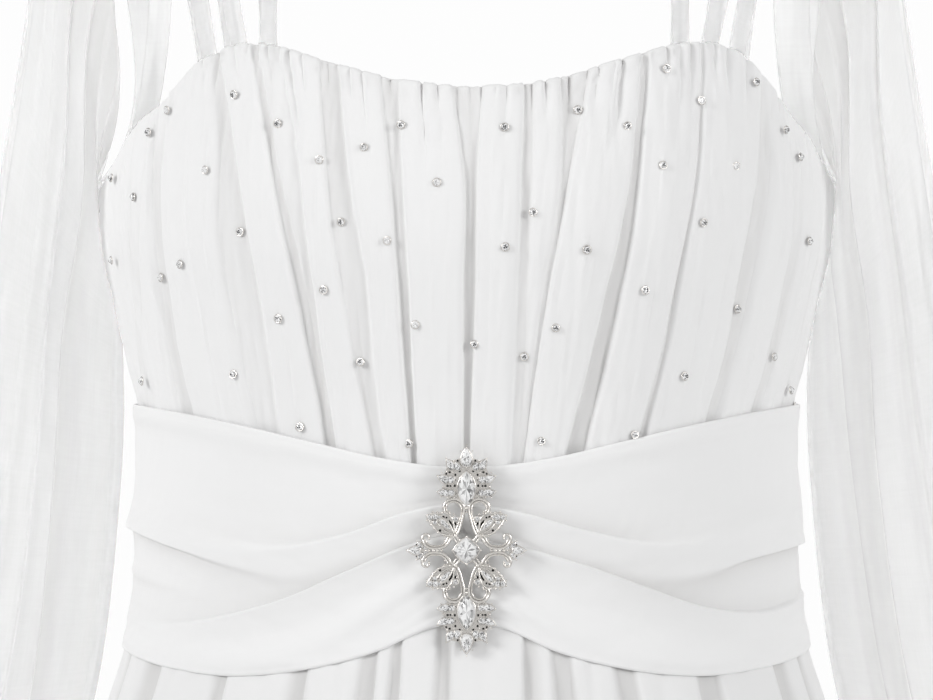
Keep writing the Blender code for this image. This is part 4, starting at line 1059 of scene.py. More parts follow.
def back_band_surface(ends):
    """Level soft ridges round the back, sagging a little at the middle.

    Towards each side seam lift and shade turn into the front's own there, so the band runs on.
    """
    degrees = np.linspace(-SEAM_ANGLE, SEAM_ANGLE, BACK_BAND_COLUMNS)
    share = np.linspace(0.0, 1.0, BACK_BAND_ROWS)[:, None] + 0.0 * degrees
    upper = waistband_edge(90.0, 1)
    lower = waistband_edge(90.0, 2)
    tall = (upper - lower) / MM
    sag = BACK_SAG * np.cos(np.radians(degrees)) * np.sin(np.pi * share)
    lift = BAND_OUT + BAND_ROUND * np.sin(np.pi * share)
    for centre, high, wide in BACK_SWAGS:
        lift += high * bell((share - centre - sag) * tall, wide)
    lift += 0.15 * soft_noise(degrees * 2.2, share * tall, 33, 14, 40.0, 14.0)
    lift -= roll_in(np.minimum(share, 1 - share) * tall)
    shade = BACK_SHADE * np.clip((SHADED_BELOW - lift) / SHADE_FALL, 0.0, 1.0)
    for side, (known_share, known_lift, known_shade) in zip((1.0, -1.0), ends):
        near = ease((side * degrees - TURNS_FROM) / (TURNED_AT - TURNS_FROM))
        lift = lift * (1 - near) + np.interp(share, known_share, known_lift) * near
        shade = shade * (1 - near) + np.interp(share, known_share, known_shade) * near
    return body_point(degrees + 180.0 + 0.0 * share, upper + (lower - upper) * share, lift * MM), shade


back_band_points, back_band_shade = back_band_surface(band_ends)
dress("waistband_back", back_band_points, DRAPED, "waistband", back_band_shade)
print("back of the band done")

# %% [markdown]
# ## The skirt
#
# The skirt's fullness is gathered under the band.  Narrow pleats leave it, and lower down they
# open into deep rolling folds.  Some small pleats die out on the way.

# %% Folds of the skirt
# Degrees of each valley at the waist and at the hem, its depth as a share; then at the waist its
# half width, and the softness of its left and right side, in millimetres
SKIRT_FRONT_FOLDS = (
    (-SEAM_ANGLE, -SEAM_ANGLE, 0, 0, 1, 1), (-77, -78, 0.8, 2, 2, 1), (-63.4, -64.5, 0.9, 5, 4, 0.7),
    (-43, -48, 1.1, 2.4, 2.4, 0.6), (-27.3, -34, 0.9, 3, 3.2, 0.5), (-15.6, -20, 1.1, 2.9, 1.4, 0.5),
    (-11.4, -12.6, 0.5, 1.8, 1.2, 0.5), (-3.4, -5.6, 1, 2.2, 1.6, 0.6), (10.7, 9, 1.1, 2.2, 0.5, 3),
    (15.2, 20, 0.9, 3.4, 1.6, 0.5), (25.6, 34, 1.1, 3.6, 1.8, 0.5), (42.2, 47.5, 1.1, 4.4, 0.6, 0.6),
    (63.4, 63, 1, 4, 0.6, 2.4), (73.5, 76, 0.8, 2.4, 0.8, 1.6), (SEAM_ANGLE, SEAM_ANGLE, 0, 0, 1, 1),
)
SKIRT_BACK_FOLDS = (
    (-SEAM_ANGLE, -SEAM_ANGLE, 0, 0, 1, 1), (-75, -76, 0.9, 2.2, 0.8, 1.6), (-61, -62, 1, 3.4, 1.6, 0.6),
    (-48, -49, 0.8, 2.4, 0.6, 2), (-33, -34.5, 1.1, 3.8, 0.6, 0.7), (-21, -20.5, 0.9, 2.2, 1.4, 0.6),
    (-7, -7.5, 1.1, 3.4, 0.6, 1.8), (6, 7, 0.9, 2.4, 0.6, 1.4), (19.5, 20, 1.1, 4, 1.6, 0.6),
    (34, 33, 1, 2.8, 0.6, 0.6), (46, 48, 0.9, 2.2, 0.6, 2.2), (62, 61.5, 1, 3.6, 1.4, 0.6),
    (76, 76.5, 0.8, 2.2, 0.8, 1.4), (SEAM_ANGLE, SEAM_ANGLE, 0, 0, 1, 1),
)

# Height in millimetres, and how deep the folds are there
SKIRT_FOLD_GROWTH = (
    (-345, 3), (-368, 3.8), (-385, 5), (-450, 9), (-600, 17), (-850, 28), (-1150, 38), (-1400, 44),
)

# How far out the skirt lies under the band, its hem's height, a furrow's depth in millimetres, and
# the rows of the hem as shares of the height, with its step between the first two
SKIRT_OUT = 0.5 * MM
HEM_HEIGHT = -1400.0 * MM
FURROW = 2.6
HEM_LEVELS = (0.9895, 0.9905, 0.992, 1.0)

# Small pleats: degrees at the waist, reach down the skirt as a share, depth and half width in
# millimetres at the waist
SMALL_PLEATS = (
    (-84, 0.25, 0.5, 2), (-71, 0.3, 0.5, 2.2), (-56, 0.35, 0.9, 1.6), (-50, 0.2, 0.4, 2),
    (-35, 0.4, 0.6, 2.2), (-21.5, 0.3, 0.7, 1.4), (3, 0.3, 0.5, 2), (20.5, 0.35, 0.7, 1.4),
    (33, 0.4, 0.6, 2.4), (51, 0.3, 0.6, 2.4), (67, 0.3, 0.5, 1.6), (82, 0.25, 0.5, 2),
)

# The grid: columns in a gap and how much they crowd at its ends, rows of the gathered top and of
# the rest, and the share of the height where the top ends
GAP_COLUMNS, GAP_CROWDING = 24, 0.72
TOP_ROWS, REST_ROWS, TOP_ENDS = 24, 60, 0.10

# Shares of the height where the rolling folds begin and over which they take over; how much a
# furrow and a small pleat widen from the waist to the hem; how far a ridge leans as a share of its
# gap and a valley wanders in degrees; heights of the ripples and of the hem's step
ROLL_FROM, ROLL_OVER = 0.008, 0.11
FURROW_GROWTH, PLEAT_GROWTH = 14.0, 9.0
RIDGE_LEAN, VALLEY_WANDER = 0.28, 1.3
RIPPLE, HEM_STEP = 2.2 * MM, 0.5 * MM


def skirt_surface(folds, turned, seed):
    """Points and painted fold shade of one skirt panel.

    Under the band it is flat panels with narrow sunk strips between them: a step down and a step up
    at each valley.  Further down it rolls: between two valleys at share p the cloth lies fold depth
    times 1 - sin(pi p)^k lower than the ridge, with k growing from 0.55 to 1.05.  The first form
    fades into the second over the top tenth, and the ridges lean by a drawn share.
    """
    draw = np.random.default_rng(seed)
    levels = np.concatenate([np.linspace(0.0, TOP_ENDS, TOP_ROWS)[:-1],
                             np.linspace(TOP_ENDS, 0.985, REST_ROWS), HEM_LEVELS])
    rows = levels[:, None]
    waist, hem, depth, half, soft_left, soft_right = (column(folds, index) for index in range(6))
    drift = np.sqrt(levels)
    knots = waist[:, None] * (1 - drift) + hem[:, None] * drift
    wander = soft_noise(np.arange(len(folds))[:, None], levels[None, :], seed + 1, 8, 2.2, 1.1)
    knots[1:-1] += (wander * levels * VALLEY_WANDER)[1:-1]
    gaps = len(folds) - 1
    degrees = spread(knots, np.full(gaps, GAP_COLUMNS), GAP_CROWDING).T
    share = np.append(np.tile(np.arange(GAP_COLUMNS) / GAP_COLUMNS, gaps), 1.0)
    share = share - GAP_CROWDING * np.sin(2 * np.pi * share) / (2 * np.pi)
    gap = np.append(np.repeat(np.arange(gaps), GAP_COLUMNS), gaps - 1)
    lean = draw.uniform(-RIDGE_LEAN, RIDGE_LEAN, gaps)[gap] * ease(rows * 3.0)
    shifted = np.clip(share + lean * np.sin(np.pi * share)**2 * 0.6, 0.0, 1.0)
    local = depth[gap] * (1 - share) + depth[gap + 1] * share
    sink = local * (1 - np.sin(np.pi * shifted)**(0.55 + 0.5 * rows))
    band_bottom = waistband_edge(degrees if turned == 0.0 else 90.0 + 0.0 * degrees, 2)
    top = band_bottom + TUCK
    height = top + (HEM_HEIGHT - top) * rows
    growth = along_table(height / MM, SKIRT_FOLD_GROWTH)
    rolled = ease((rows - ROLL_FROM) / ROLL_OVER)
    lift = -growth * sink * rolled
    scale = degree_length(degrees + turned, height) / MM
    furrow = np.zeros(degrees.shape)
    for path, wide, left, right in zip(knots[1:-1], half[1:-1], soft_left[1:-1], soft_right[1:-1]):
        distance = (degrees - path[:, None]) * scale
        opening = wide * (1 + FURROW_GROWTH * rows)
        down = ease((distance + opening) / (2 * left) + 0.5)
        furrow += down * (1 - ease((distance - opening) / (2 * right) + 0.5))
    below = ease((band_bottom - height) / (16.0 * MM))
    lift -= (FURROW * (0.45 + 0.55 * below) + 1.4 * rolled) * MM * furrow * (1 - rolled)
    pleats = SMALL_PLEATS if turned == 0.0 else [(2.0 - row[0], *row[1:]) for row in SMALL_PLEATS]
    for start, reach, deep, wide in pleats:
        fade = np.clip(1 - rows / reach, 0.0, 1.0)
        distance = (degrees - start * (1 + 0.02 * rows)) * scale
        wider = 1 + PLEAT_GROWTH * rows
        lift -= deep * MM * fade * wider * bell(distance, wide * wider)
    ripple = soft_noise(degrees * 5.0, rows * 1000.0, seed + 2, 18, 34.0, 260.0)
    lift += RIPPLE * ripple * ease(rows * 2.5) * ease((90.0 - np.abs(degrees)) / 9.0)
    hem_step = HEM_STEP * ease((rows - HEM_LEVELS[0]) / (HEM_LEVELS[1] - HEM_LEVELS[0]))
    raised = SKIRT_OUT * (1 - rolled)
    shade = np.clip(sink * 1.1, 0.0, 1.0) * (0.9 - 0.3 * rows) * rolled + 0.9 * furrow * (1 - rolled)
    return body_point(degrees + turned, height, lift + hem_step + raised), shade


HEM_ROWS = {"skirt": [], "sleeves": []}
for name, folds, turned, seed in (("skirt_front", SKIRT_FRONT_FOLDS, 0.0, 51),
                                  ("skirt_back", SKIRT_BACK_FOLDS, 180.0, 61)):
    skirt_points, skirt_shade = skirt_surface(folds, turned, seed)
    HEM_ROWS["skirt"].append(skirt_points[-3])
    dress(name, skirt_points, SKIRT, "skirt", skirt_shade)
    print(name, "grid:", skirt_points.shape[:2])

# %% [markdown]
# ## Sleeves
#
# Long sheer sleeves hang from the armholes.  Chiffon this thin hides less than half of what is
# behind it, so the back of the sleeve shows faintly through its front, and every fold is a little
# denser and has painted shade.

# %% Sleeves
# Millimetres: outer point across and height, inner point across and height, middle and half of the
# depth from front to back, cut towards the neck
SLEEVE_RINGS = (
    (-146.8, -12, -148.4, -173.6, 5, 65, 28), (-155, -15.5, -150.4, -177, 8, 65.5, 21),
    (-164, -27, -151.2, -183.5, 12, 66, 15), (-171, -52, -151.4, -192, 17, 66, 10),
    (-176.6, -100, -150.2, -203, 23, 65, 6), (-186.6, -159, -147, -220, 29, 64, 3),
    (-196, -215, -142.4, -243, 34, 63, 0), (-207, -282, -142.2, -292, 38, 64, 0),
    (-225, -376, -151, -372, 42, 64, 0), (-250, -460, -171, -448, 45, 64, 0),
    (-277, -535, -195, -516, 45, 66, 0), (-308, -610, -225.5, -586, 45, 70, 0),
)

# How much of the front's cut towards the neck the back has
BACK_SCOOP_SHARE = 0.45

# How far the inner side leans to the bodice, in millimetres at each ring; then the rings where the
# edges' degrees are known, and those of the cuff
SLEEVE_LEAN_IN = (0, 0.6, 2.2, 4.6, 6.2, 6.4, 4, 3, 2.4, 1.4, 0.6, 0)
SLEEVE_HEIGHTS = (0, 2, 4, 6, 8, 11)
CUFF_PLACES = (10.895, 10.905, 10.95, 11.0)

# The grid: rows above the cuff, the ring where they end, and columns in a gap between edges
SLEEVE_ROWS, LAST_ROW, SLEEVE_COLUMNS = 94, 10.85, 13

# Millimetres: the least distance from the body's form, how far the cloth lies inside its tube, and
# the half softness below which an edge is crisp enough to be denser and painted darker beyond it
CLEAR_OF_BODY = 0.8 * MM
SET_IN = 0.3
CRISP = 1.6

# Over how many rings the folds grow whole and the gathered top's density and painted shade fade,
# and how strong these are at the top; the cuff's step in millimetres; how far the edges wander in
# degrees
GROWN_AT, DENSE_SHADE_TO, DENSE_SHADE_TOP = 2.5, 5.0, 0.9
CUFF_STEP, EDGE_WANDER = 0.4, 1.2

# Millimetres over which the density and painted shade beyond a crisp edge fade, with those added
# for each that it is deep; the depth of an edge that gets the full density and shade; how much the
# folds grow in a ring, and the sway of the cloth in millimetres
DENSE_SHADE_FALL, DENSE_SHADE_FALL_MORE, FULLY_DENSE_AND_SHADED, FOLD_GROWTH, SWAY = 5.0, 3.0, 3.0, 0.05, 0.3

# Edges of the sleeves' folds: degrees round the sleeve at six rings (0 outside, 90 in front, 180
# towards the body), half softness in millimetres, how far the cloth beyond it stands out
LEFT_SLEEVE_EDGES = (
    ((18, 16, 20, 24, 26, 26), 1.4, -2.2), ((30, 30, 34, 36, 38, 38), 2.5, 0.2),
    ((52, 56, 60, 58, 62, 62), 3, -1), ((66, 70, 76, 74, 78, 80), 2.5, 0.6),
    ((80, 84, 92.5, 91, 95, 97), 0.8, -1.6), ((88, 102, 115, 108.5, 114, 116), 0.9, -3.4),
    ((100, 126, 150, 139, 139, 139), 4, -0.8), ((118, 150, 165, 156, 158, 158), 1, 0.6),
    ((150, 170, 178, 172, 172, 172), 3, -1.4), ((190, 194, 198, 194, 192, 192), 3, 0.3),
    ((212, 214, 216, 212, 212, 212), 1, -2.4), ((226, 230, 230, 228, 226, 226), 4, 0.2),
    ((248, 250, 252, 250, 250, 250), 1.2, -2.2), ((262, 266, 270, 268, 266, 266), 4, 0.4),
    ((288, 286, 290, 292, 290, 290), 1, -2.6), ((304, 304, 308, 310, 308, 306), 4, 0),
    ((328, 326, 326, 330, 330, 330), 1.5, -2.4), ((344, 342, 344, 346, 346, 346), 4, 0),
)
RIGHT_SLEEVE_EDGES = (
    ((16, 18, 22, 22, 22, 22), 1.4, -2.4), ((32, 34, 38, 38, 36, 36), 3, 0.3),
    ((60, 66, 77, 74, 71, 72), 0.9, -2.4), ((74, 80, 92, 88, 84, 84), 4, 0.3),
    ((86, 100, 116, 106, 108, 110), 0.8, -3.2), ((98, 116, 128, 117, 118, 120), 3.5, -0.4),
    ((112, 135, 146, 131, 124, 126), 0.8, -2), ((128, 150, 160, 142, 134, 136), 3.5, 0.2),
    ((150, 168, 176, 166, 164, 164), 3, -1.2), ((176, 184, 190, 182, 182, 182), 3, 0.2),
    ((208, 206, 208, 206, 206, 206), 1, -2.6), ((222, 222, 226, 224, 222, 222), 4, 0),
    ((242, 244, 248, 248, 246, 246), 1, -2.2), ((258, 260, 266, 264, 262, 262), 4, 0.3),
    ((282, 282, 286, 288, 286, 286), 1.2, -2.4), ((300, 300, 302, 304, 304, 304), 4, 0),
    ((322, 322, 324, 326, 326, 326), 1.2, -2.6), ((340, 340, 342, 344, 344, 344), 4, 0),
)


def scoop_share(turn):
    """Share of the armhole's cut towards the neck at a turn from its top, over the front."""
    lowness = (1 - np.cos(turn)) / 2
    side_share = np.where(np.sin(turn) > 0.0, 1.0, BACK_SCOOP_SHARE)
    return side_share * np.sin(turn)**2 * lowness**2


def sleeve_surface(side, edges, seed):
    """Points, and density with painted shade, of a tube through leaning ovals.

    Its lift is a sum of smooth steps at the folds' edges, which start small at the armhole and are
    whole two rings further down.  Where the tube would enter the body's form it lies on it.
    """
    stations = np.arange(len(SLEEVE_RINGS))
    along = np.concatenate([np.linspace(0.0, LAST_ROW, SLEEVE_ROWS), CUFF_PLACES])
    rows = along[:, None]
    outer_x, outer_z, inner_x, inner_z, middle, half_depth, scoop = (
        smooth(rows, stations, column(SLEEVE_RINGS, index)) for index in range(7))
    inner_x = inner_x + smooth(rows, stations, SLEEVE_LEAN_IN)
    paths = np.stack([smooth(along, SLEEVE_HEIGHTS, row[0]) for row in edges])
    paths += EDGE_WANDER * soft_noise(np.arange(len(edges))[:, None], along, seed, 8, 3.0, 4.0)
    knots = np.maximum.accumulate(np.concatenate([paths, paths[:1] + 360.0]), axis=0)
    around = spread(knots, np.full(len(edges), SLEEVE_COLUMNS))[:-1].T
    turn = np.radians(around)
    cos, sin = np.cos(turn), np.sin(turn)
    half_x, half_z = (outer_x - inner_x) / 2, (outer_z - inner_z) / 2
    length = np.hypot(half_x, half_z)
    out = (cos * half_x / length**2, -sin / half_depth, cos * half_z / length**2)
    scale = np.radians(np.hypot(length * sin, half_depth * cos))
    before = edges[-1][2]
    lift = np.full(around.shape, before, float)
    density_and_shade = np.zeros(around.shape)
    for path, (_, soft, after) in zip(paths, edges):
        for whole_turn in (0.0, 360.0):
            distance = (around - path[:, None] - whole_turn) * scale
            step = ease(distance / (2 * soft) + 0.5)
            lift += (after - before) * step
            # Beyond a crisp edge the cloth is denser and painted darker: density and painted shade in one
            # value
            if soft < CRISP:
                reach = DENSE_SHADE_FALL + DENSE_SHADE_FALL_MORE * abs(after)
                fall = np.exp(-np.maximum(distance, 0.0) / reach)
                density_and_shade += min(max(-after / FULLY_DENSE_AND_SHADED, 0.0), 1.0) * step * fall
        before = after
    lift += CUFF_STEP * ease((rows - CUFF_PLACES[0]) / (CUFF_PLACES[1] - CUFF_PLACES[0]))
    grown = 0.6 + 0.4 * ease(rows / GROWN_AT)
    lift = lift * grown * (1 + FOLD_GROWTH * rows)
    sway = soft_noise(around, rows * 10.0, seed + 1, 12, 60.0, 26.0)
    lift += SWAY * sway * np.sin(np.pi * rows / CUFF_PLACES[-1])
    x = (outer_x + inner_x) / 2 + cos * half_x + scoop * scoop_share(turn)
    z = (outer_z + inner_z) / 2 + cos * half_z
    points = np.stack([x, middle - sin * half_depth, z], axis=-1)
    points += unit(np.stack(out, axis=-1)) * (lift - SET_IN)[..., None]
    points *= MM
    half_width, depth = radii_at(points)
    beside = half_width * np.sqrt(np.clip(1 - (points[..., 1] / depth)**2, 0.0, 1.0))
    points[..., 0] = side * np.maximum(-points[..., 0], beside + CLEAR_OF_BODY)
    return points, np.clip(density_and_shade * grown + DENSE_SHADE_TOP * (1 - ease(rows / DENSE_SHADE_TO)), 0.0, 1.2)


for name, side, edges, seed in (("sleeve_left", -1.0, LEFT_SLEEVE_EDGES, 71),
                                ("sleeve_right", 1.0, RIGHT_SLEEVE_EDGES, 75)):
    sleeve_points, sleeve_shade = sleeve_surface(side, edges, seed)
    HEM_ROWS["sleeves"].append(np.concatenate([sleeve_points[-3], sleeve_points[-3, :1]]))
    dress(name, sleeve_points, SHEER, "sleeves", sleeve_shade, closed=True, thickness=0.3 * MM)
    print(name, "grid:", sleeve_points.shape[:2])

# %% [markdown]
# ## Armhole bands
#
# A narrow strip runs round each armhole.  It is cut straight and bent into a ring, so faint creases
# run along it.

# %% Armhole bands
# Millimetres: the armhole's middle in depth and height, half its depth and height, how far across
# the band's inner edge is at its top and under the arm, and the band's width; then the grid, and the
# creases' depth on bands and straps
ARMHOLE_MIDDLE = (5.0, -91.5)
ARMHOLE_HALF_DEPTH = 65.0
ARMHOLE_HALF_HEIGHT = 81.0
ARMHOLE_TOP = 137.0
ARMHOLE_UNDER = 138.6
BAND_WIDTH = 9.0
RING_COLUMNS, RING_ROWS = 160, 12
CREASE = 0.35


def band_cut(turn, front, back):
    """How far the band is cut towards the neck, in millimetres.

    Over the front it is front times the sine of the turn, or its square above the armhole's
    middle.  Over the back it follows the sleeve's own cut there.
    """
    sine = np.abs(np.sin(turn))
    share = np.where(np.cos(turn) < 0.0, sine, sine**2)
    return np.where(np.sin(turn) > 0.0, front * share, back * scoop_share(turn) / BACK_SCOOP_SHARE)


def band_surface(side, front, back, wider, seed):
    """A flat ring round the armhole with soft creases along it; wider is added at its front."""
    turn = circle(RING_COLUMNS)
    wide = np.linspace(0.0, 1.0, RING_ROWS)[:, None]
    blend = (1 - np.cos(turn)) / 2
    inner = ARMHOLE_TOP * (1 - blend) + ARMHOLE_UNDER * blend
    width = BAND_WIDTH + wider * np.maximum(np.sin(turn), 0.0)**2 + 0.4 * max(wider, 0.0)
    across = inner + width * wide - band_cut(turn, front, back)
    creases = soft_noise(wide * BAND_WIDTH, np.degrees(turn), seed, 12, 5.0, 120.0)
    puff = CREASE * creases * np.sin(np.pi * wide)
    y = ARMHOLE_MIDDLE[0] - (ARMHOLE_HALF_DEPTH + puff) * np.sin(turn)
    z = ARMHOLE_MIDDLE[1] + (ARMHOLE_HALF_HEIGHT + puff) * np.cos(turn)
    return np.stack([side * across, y, z], axis=-1) * MM


for name, shape in (("armhole_band_left", (-1.0, 22.6, 27.9, 0.0, 81)),
                    ("armhole_band_right", (1.0, 18.0, 14.0, 4.0, 83))):
    dress(name, band_surface(*shape), STRIP, "straps", closed=True, thickness=0.5 * MM)
print("bands:", BAND_WIDTH, "mm wide")

# %% [markdown]
# ## Straps
#
# Three narrow strips on each side fan out from the neckline's corners over the shoulder.  Each is
# folded double and pressed, so it is a flat tube.  Its foot is caught inside the front's edge, and
# from there it heads the way it is pulled.

# %% Straps
# Millimetres: a strap's width and thickness, half the length of its foot, the body's radius there,
# how far its ends lie inside the form, and how far back its highest point is
STRAP_WIDTH = 7.6
STRAP_PUFF = 1.1
STRAP_FOOT = 6.0
FOOT_RADIUS = 141.0
FRONT_STRAP_LIFT = -2.7
BACK_STRAP_LIFT = -2.4
SHOULDER_DEPTH = 6.0

# The grid: steps of the rising and of the falling part, columns round, and millimetres in a step
STRAP_STEPS, STRAP_COLUMNS, STEP_LENGTH = 26, 24, 4.0

# How strongly the strap keeps its heading at the foot, over the shoulder and down the back, each a
# share of the way, and how far it leans in below the shoulder in millimetres
PULL_UP, PULL_OVER, PULL_DOWN = 0.62, 0.6, 0.5
LEAN_IN = 4.0

# Name, side, degrees at the front foot, lean outwards, shoulder across and up, degrees at the back
STRAPS = (
    ("strap_left_inner", -1, 34.5, 0.05, 86, -4, 34.4), ("strap_left_middle", -1, 40, 0.32, 118, -8, 41.2),
    ("strap_left_outer", -1, 46.5, 0.30, 132.5, -12, 47.4),
    ("strap_right_inner", 1, 37.5, 0.08, 92, -4, 37.3),
    ("strap_right_middle", 1, 43.6, 0.36, 120, -8, 43.5),
    ("strap_right_outer", 1, 49.8, 0.34, 132.5, -12, 51),
)


def bezier(points, steps):
    """A cubic curve pulled towards its two middle points."""
    t = np.linspace(0.0, 1.0, steps)[:, None]
    a, b, c, d = (np.asarray(point, float) for point in points)
    return a * (1 - t)**3 + 3 * b * t * (1 - t)**2 + 3 * c * t**2 * (1 - t) + d * t**3


def strap_path(side, foot_angle, lean, shoulder, rise, back_angle):
    """The strap's middle line and its direction across: up from the front edge, over, and down."""
    angle = side * foot_angle
    edge = float(along_table(angle, FRONT_EDGE))
    climb = np.array([-STRAP_FOOT, 0.0, STRAP_FOOT]) * MM
    swing = np.degrees(lean * climb / (FOOT_RADIUS * MM * math.cos(math.radians(angle))))
    foot = body_point(angle + side * swing, edge + climb, FRONT_STRAP_LIFT * MM)
    back_turn = 180.0 - side * back_angle
    back_edge = float(along_table(180.0 - back_turn, BACK_EDGE))
    tail = body_point(np.full(3, back_turn), back_edge + climb[::-1], BACK_STRAP_LIFT * MM)
    top = np.array([side * shoulder, SHOULDER_DEPTH, rise]) * MM
    start, end = foot[-1], tail[0]
    heading = unit(foot[-1] - foot[-2])
    before_top = np.array([-side * LEAN_IN * MM, -PULL_OVER * (top[1] - start[1]), 0.0])
    after_foot = heading * PULL_UP * (top[2] - start[2])
    rising = bezier((start, start + after_foot, top + before_top, top), STRAP_STEPS)
    after_top = np.array([side * MM, PULL_OVER * (end[1] - top[1]), 0.0])
    before_end = np.array([0.0, 0.0, PULL_DOWN * (top[2] - end[2])])
    falling = bezier((top, top + after_top, end + before_end, end), STRAP_STEPS)
    path = np.concatenate([foot[:-1], rising, falling[1:], tail[1:]])
    along = unit(np.gradient(path, axis=0))
    front_across, back_across = (
        unit(body_point(place + step, level, 0.0) - body_point(place - step, level, 0.0))
        for place, step, level in ((angle, 1.0, edge), (back_turn, -1.0, back_edge)))
    over = np.clip((path[:, 2] - start[2]) / (top[2] - start[2]), 0.0, 1.0)[:, None]
    at_front = (np.arange(len(path)) < len(path) // 2)[:, None]
    across = np.where(at_front, front_across, back_across) * (1 - over) + np.array([1.0, 0.0, 0.0]) * over
    return path, along, unit(across - along * np.sum(across * along, axis=1, keepdims=True))


def strap_surface(path, along, across, seed):
    """A strip folded double: a flat tube with two soft creases along it that wander a little."""
    around = circle(STRAP_COLUMNS)
    length = np.arange(len(path))[:, None] * STEP_LENGTH
    uneven = soft_noise(length, 0.0 * around, seed, 6, 40.0, 9.0)
    wide = np.cos(around) * (0.5 * STRAP_WIDTH + 0.25 * uneven)
    puff = 0.5 * STRAP_PUFF * np.sign(np.sin(around)) * np.abs(np.sin(around))**0.6
    crease = 0.9 * soft_noise(length, 0.0 * around, seed + 1, 5, 60.0, 9.0)
    puff = puff - CREASE * np.sign(np.sin(around)) * bell(wide - crease, 0.8)
    face = np.cross(along, across)
    return path[:, None] + (across[:, None] * wide[..., None] + face[:, None] * puff[..., None]) * MM


for number, (name, *shape) in enumerate(STRAPS):
    strap = strap_surface(*strap_path(*shape), 90 + number)
    dress(name, strap, STRAP, "straps", closed=True, thickness=0.25 * MM)
print("straps:", len(STRAPS))

# %% [markdown]
# ## Metal and crystal
#
# The ornament is cast and soldered silver wire with cut glass stones.  A cut stone shows some of
# its facets bright and some dark, because each sends back light from another part of the room.
# Here every facet is given its own painted reflection for that.  Metal is painted darker where it
# turns away, down to a set share of its colour, as a painted reflection of darker surroundings.

# %% Metal and crystal finishes
# Share of the metal's colour at edges that turn away: painted dark reflection
DARK_EDGE_REFLECTION = 0.28


def silver_finish(name, colour, roughness):
    """Polished metal with faint wear: the roughness wavers softly over the surface."""
    finish, tree, shader = new_finish(name, {"Metallic": 1.0})
    place = tree.nodes.new("ShaderNodeTexCoord")
    wear = node(tree, "ShaderNodeTexNoise",
                {"Vector": place.outputs["Object"], "Scale": 900.0, "Detail": 2.0})
    # Painted reflection: the colour runs to a dark rim colour where the surface turns away
    facing = node(tree, "ShaderNodeLayerWeight", {"Blend": 0.5})
    rim = [DARK_EDGE_REFLECTION * part for part in colour]
    feed(tree, shader, {
        "Roughness": ranged(tree, wear.outputs["Fac"], 0.0, 1.0, roughness - 0.06, roughness + 0.08),
        "Base Color": tinted(tree, facing.outputs["Facing"], colour, rim)})
    return finish


def crystal_finish():
    """Foil-backed cut glass: each facet's painted reflection sets how much light seems to come back
    through it.
    """
    finish, tree, shader = new_finish("cut_crystal",
                                      {"Metallic": 0.08, "Roughness": 0.07, "Coat Weight": 0.6})
    stops = ((0.0, (0.05, 0.05, 0.055)), (1.0, (1.0,) * 3), (0.5, (0.42,) * 3))
    feed(tree, shader, {"Base Color": toned(tree, attribute(tree, "facet_reflection"), stops)})
    return finish


SILVER = silver_finish("polished_silver", (1.0, 0.965, 0.92), 0.27)
# Near-black metal for the discs behind the ornament's holes: painted shadow in the openings
HOLE_SHADOW = silver_finish("shaded_silver", (0.03, 0.028, 0.026), 0.5)
CRYSTAL = crystal_finish()
print("metal and crystal:", SILVER.name, HOLE_SHADOW.name, CRYSTAL.name)

# %% [markdown]
# ## Building small parts
#
# Wires are round tubes along smooth lines, beads are balls, and a stone is a low cut dome.  Many
# of them become one mesh.

# %% Builders of small parts
# A wire's round tips: how far back from its end and how thick, as shares of its radius
TIP_PLACES = (-0.95, -0.6)
TIP_SIZES = (0.15, 0.78)

# A stone's facets' painted reflections, with how often each comes, on the crown and on the table
CROWN_REFLECTIONS = ((1.0, 0.85, 0.5, 0.2), (0.45, 0.25, 0.15, 0.15))
TABLE_REFLECTIONS = ((1.0, 0.75, 0.45, 0.1), (0.35, 0.25, 0.2, 0.2))

# A stone's rings, back, girdle, waist and table: size against its outline, and share of its height;
# then the height of the table's middle
STONE_RINGS = ((0.8, -0.3), (1.0, 0.0), (0.8, 0.62), (0.48, 1.0))
TABLE_MIDDLE = 1.04


def curve_through(points, steps):
    """A smooth line through points in the ornament's plane, evenly divided between them."""
    points = np.asarray(points, float)
    known = np.arange(len(points))
    places = np.linspace(0.0, len(points) - 1.0, steps * (len(points) - 1) + 1)
    return np.stack([smooth(places, known, points[:, axis]) for axis in range(points.shape[1])], axis=1)


def wire(path, radius, ring=False, sides=8):
    """A tube along a path (n, 3) whose lines lie across the path and along Y; its ends are round."""
    path = np.asarray(path, float)
    if ring:
        along = np.roll(path, -1, axis=0) - np.roll(path, 1, axis=0)
        size = np.ones(len(path))
    else:
        tips = np.array(TIP_PLACES)[:, None] * radius
        lead = unit(path[1] - path[0])
        tail = unit(path[-1] - path[-2])
        path = np.concatenate([path[:1] + lead * tips, path, path[-1:] - tail * tips[::-1]])
        along = np.gradient(path, axis=0)
        size = np.ones(len(path))
        size[[0, -1]], size[[1, -2]] = TIP_SIZES
    along = unit(along)
    depth = np.array([0.0, -1.0, 0.0])
    across = unit(np.cross(along, depth))
    out = np.cross(across, along)
    turn = circle(sides)[None, :, None]
    ring_points = np.cos(turn) * across[:, None] + np.sin(turn) * out[:, None]
    points = path[:, None] + radius * size[:, None, None] * ring_points
    faces = grid_quads(len(path), sides, ring=ring, tube=True).reshape(-1, 4).tolist()
    if not ring:
        end = np.arange(sides)
        faces += [end[::-1].tolist(), (end + sides * (len(path) - 1)).tolist()]
    return points.reshape(-1, 3), faces


def ball_template():
    """A unit ball of triangles, used for every bead."""
    maker = bmesh.new()
    bmesh.ops.create_icosphere(maker, subdivisions=2, radius=1.0)
    points = np.array([vertex.co[:] for vertex in maker.verts])
    faces = [[vertex.index for vertex in face.verts] for face in maker.faces]
    maker.free()
    return points, faces


BALL = ball_template()


def bead(centre, radius):
    """A ball's points round a centre, and its faces."""
    return BALL[0] * radius + np.asarray(centre, float), BALL[1]


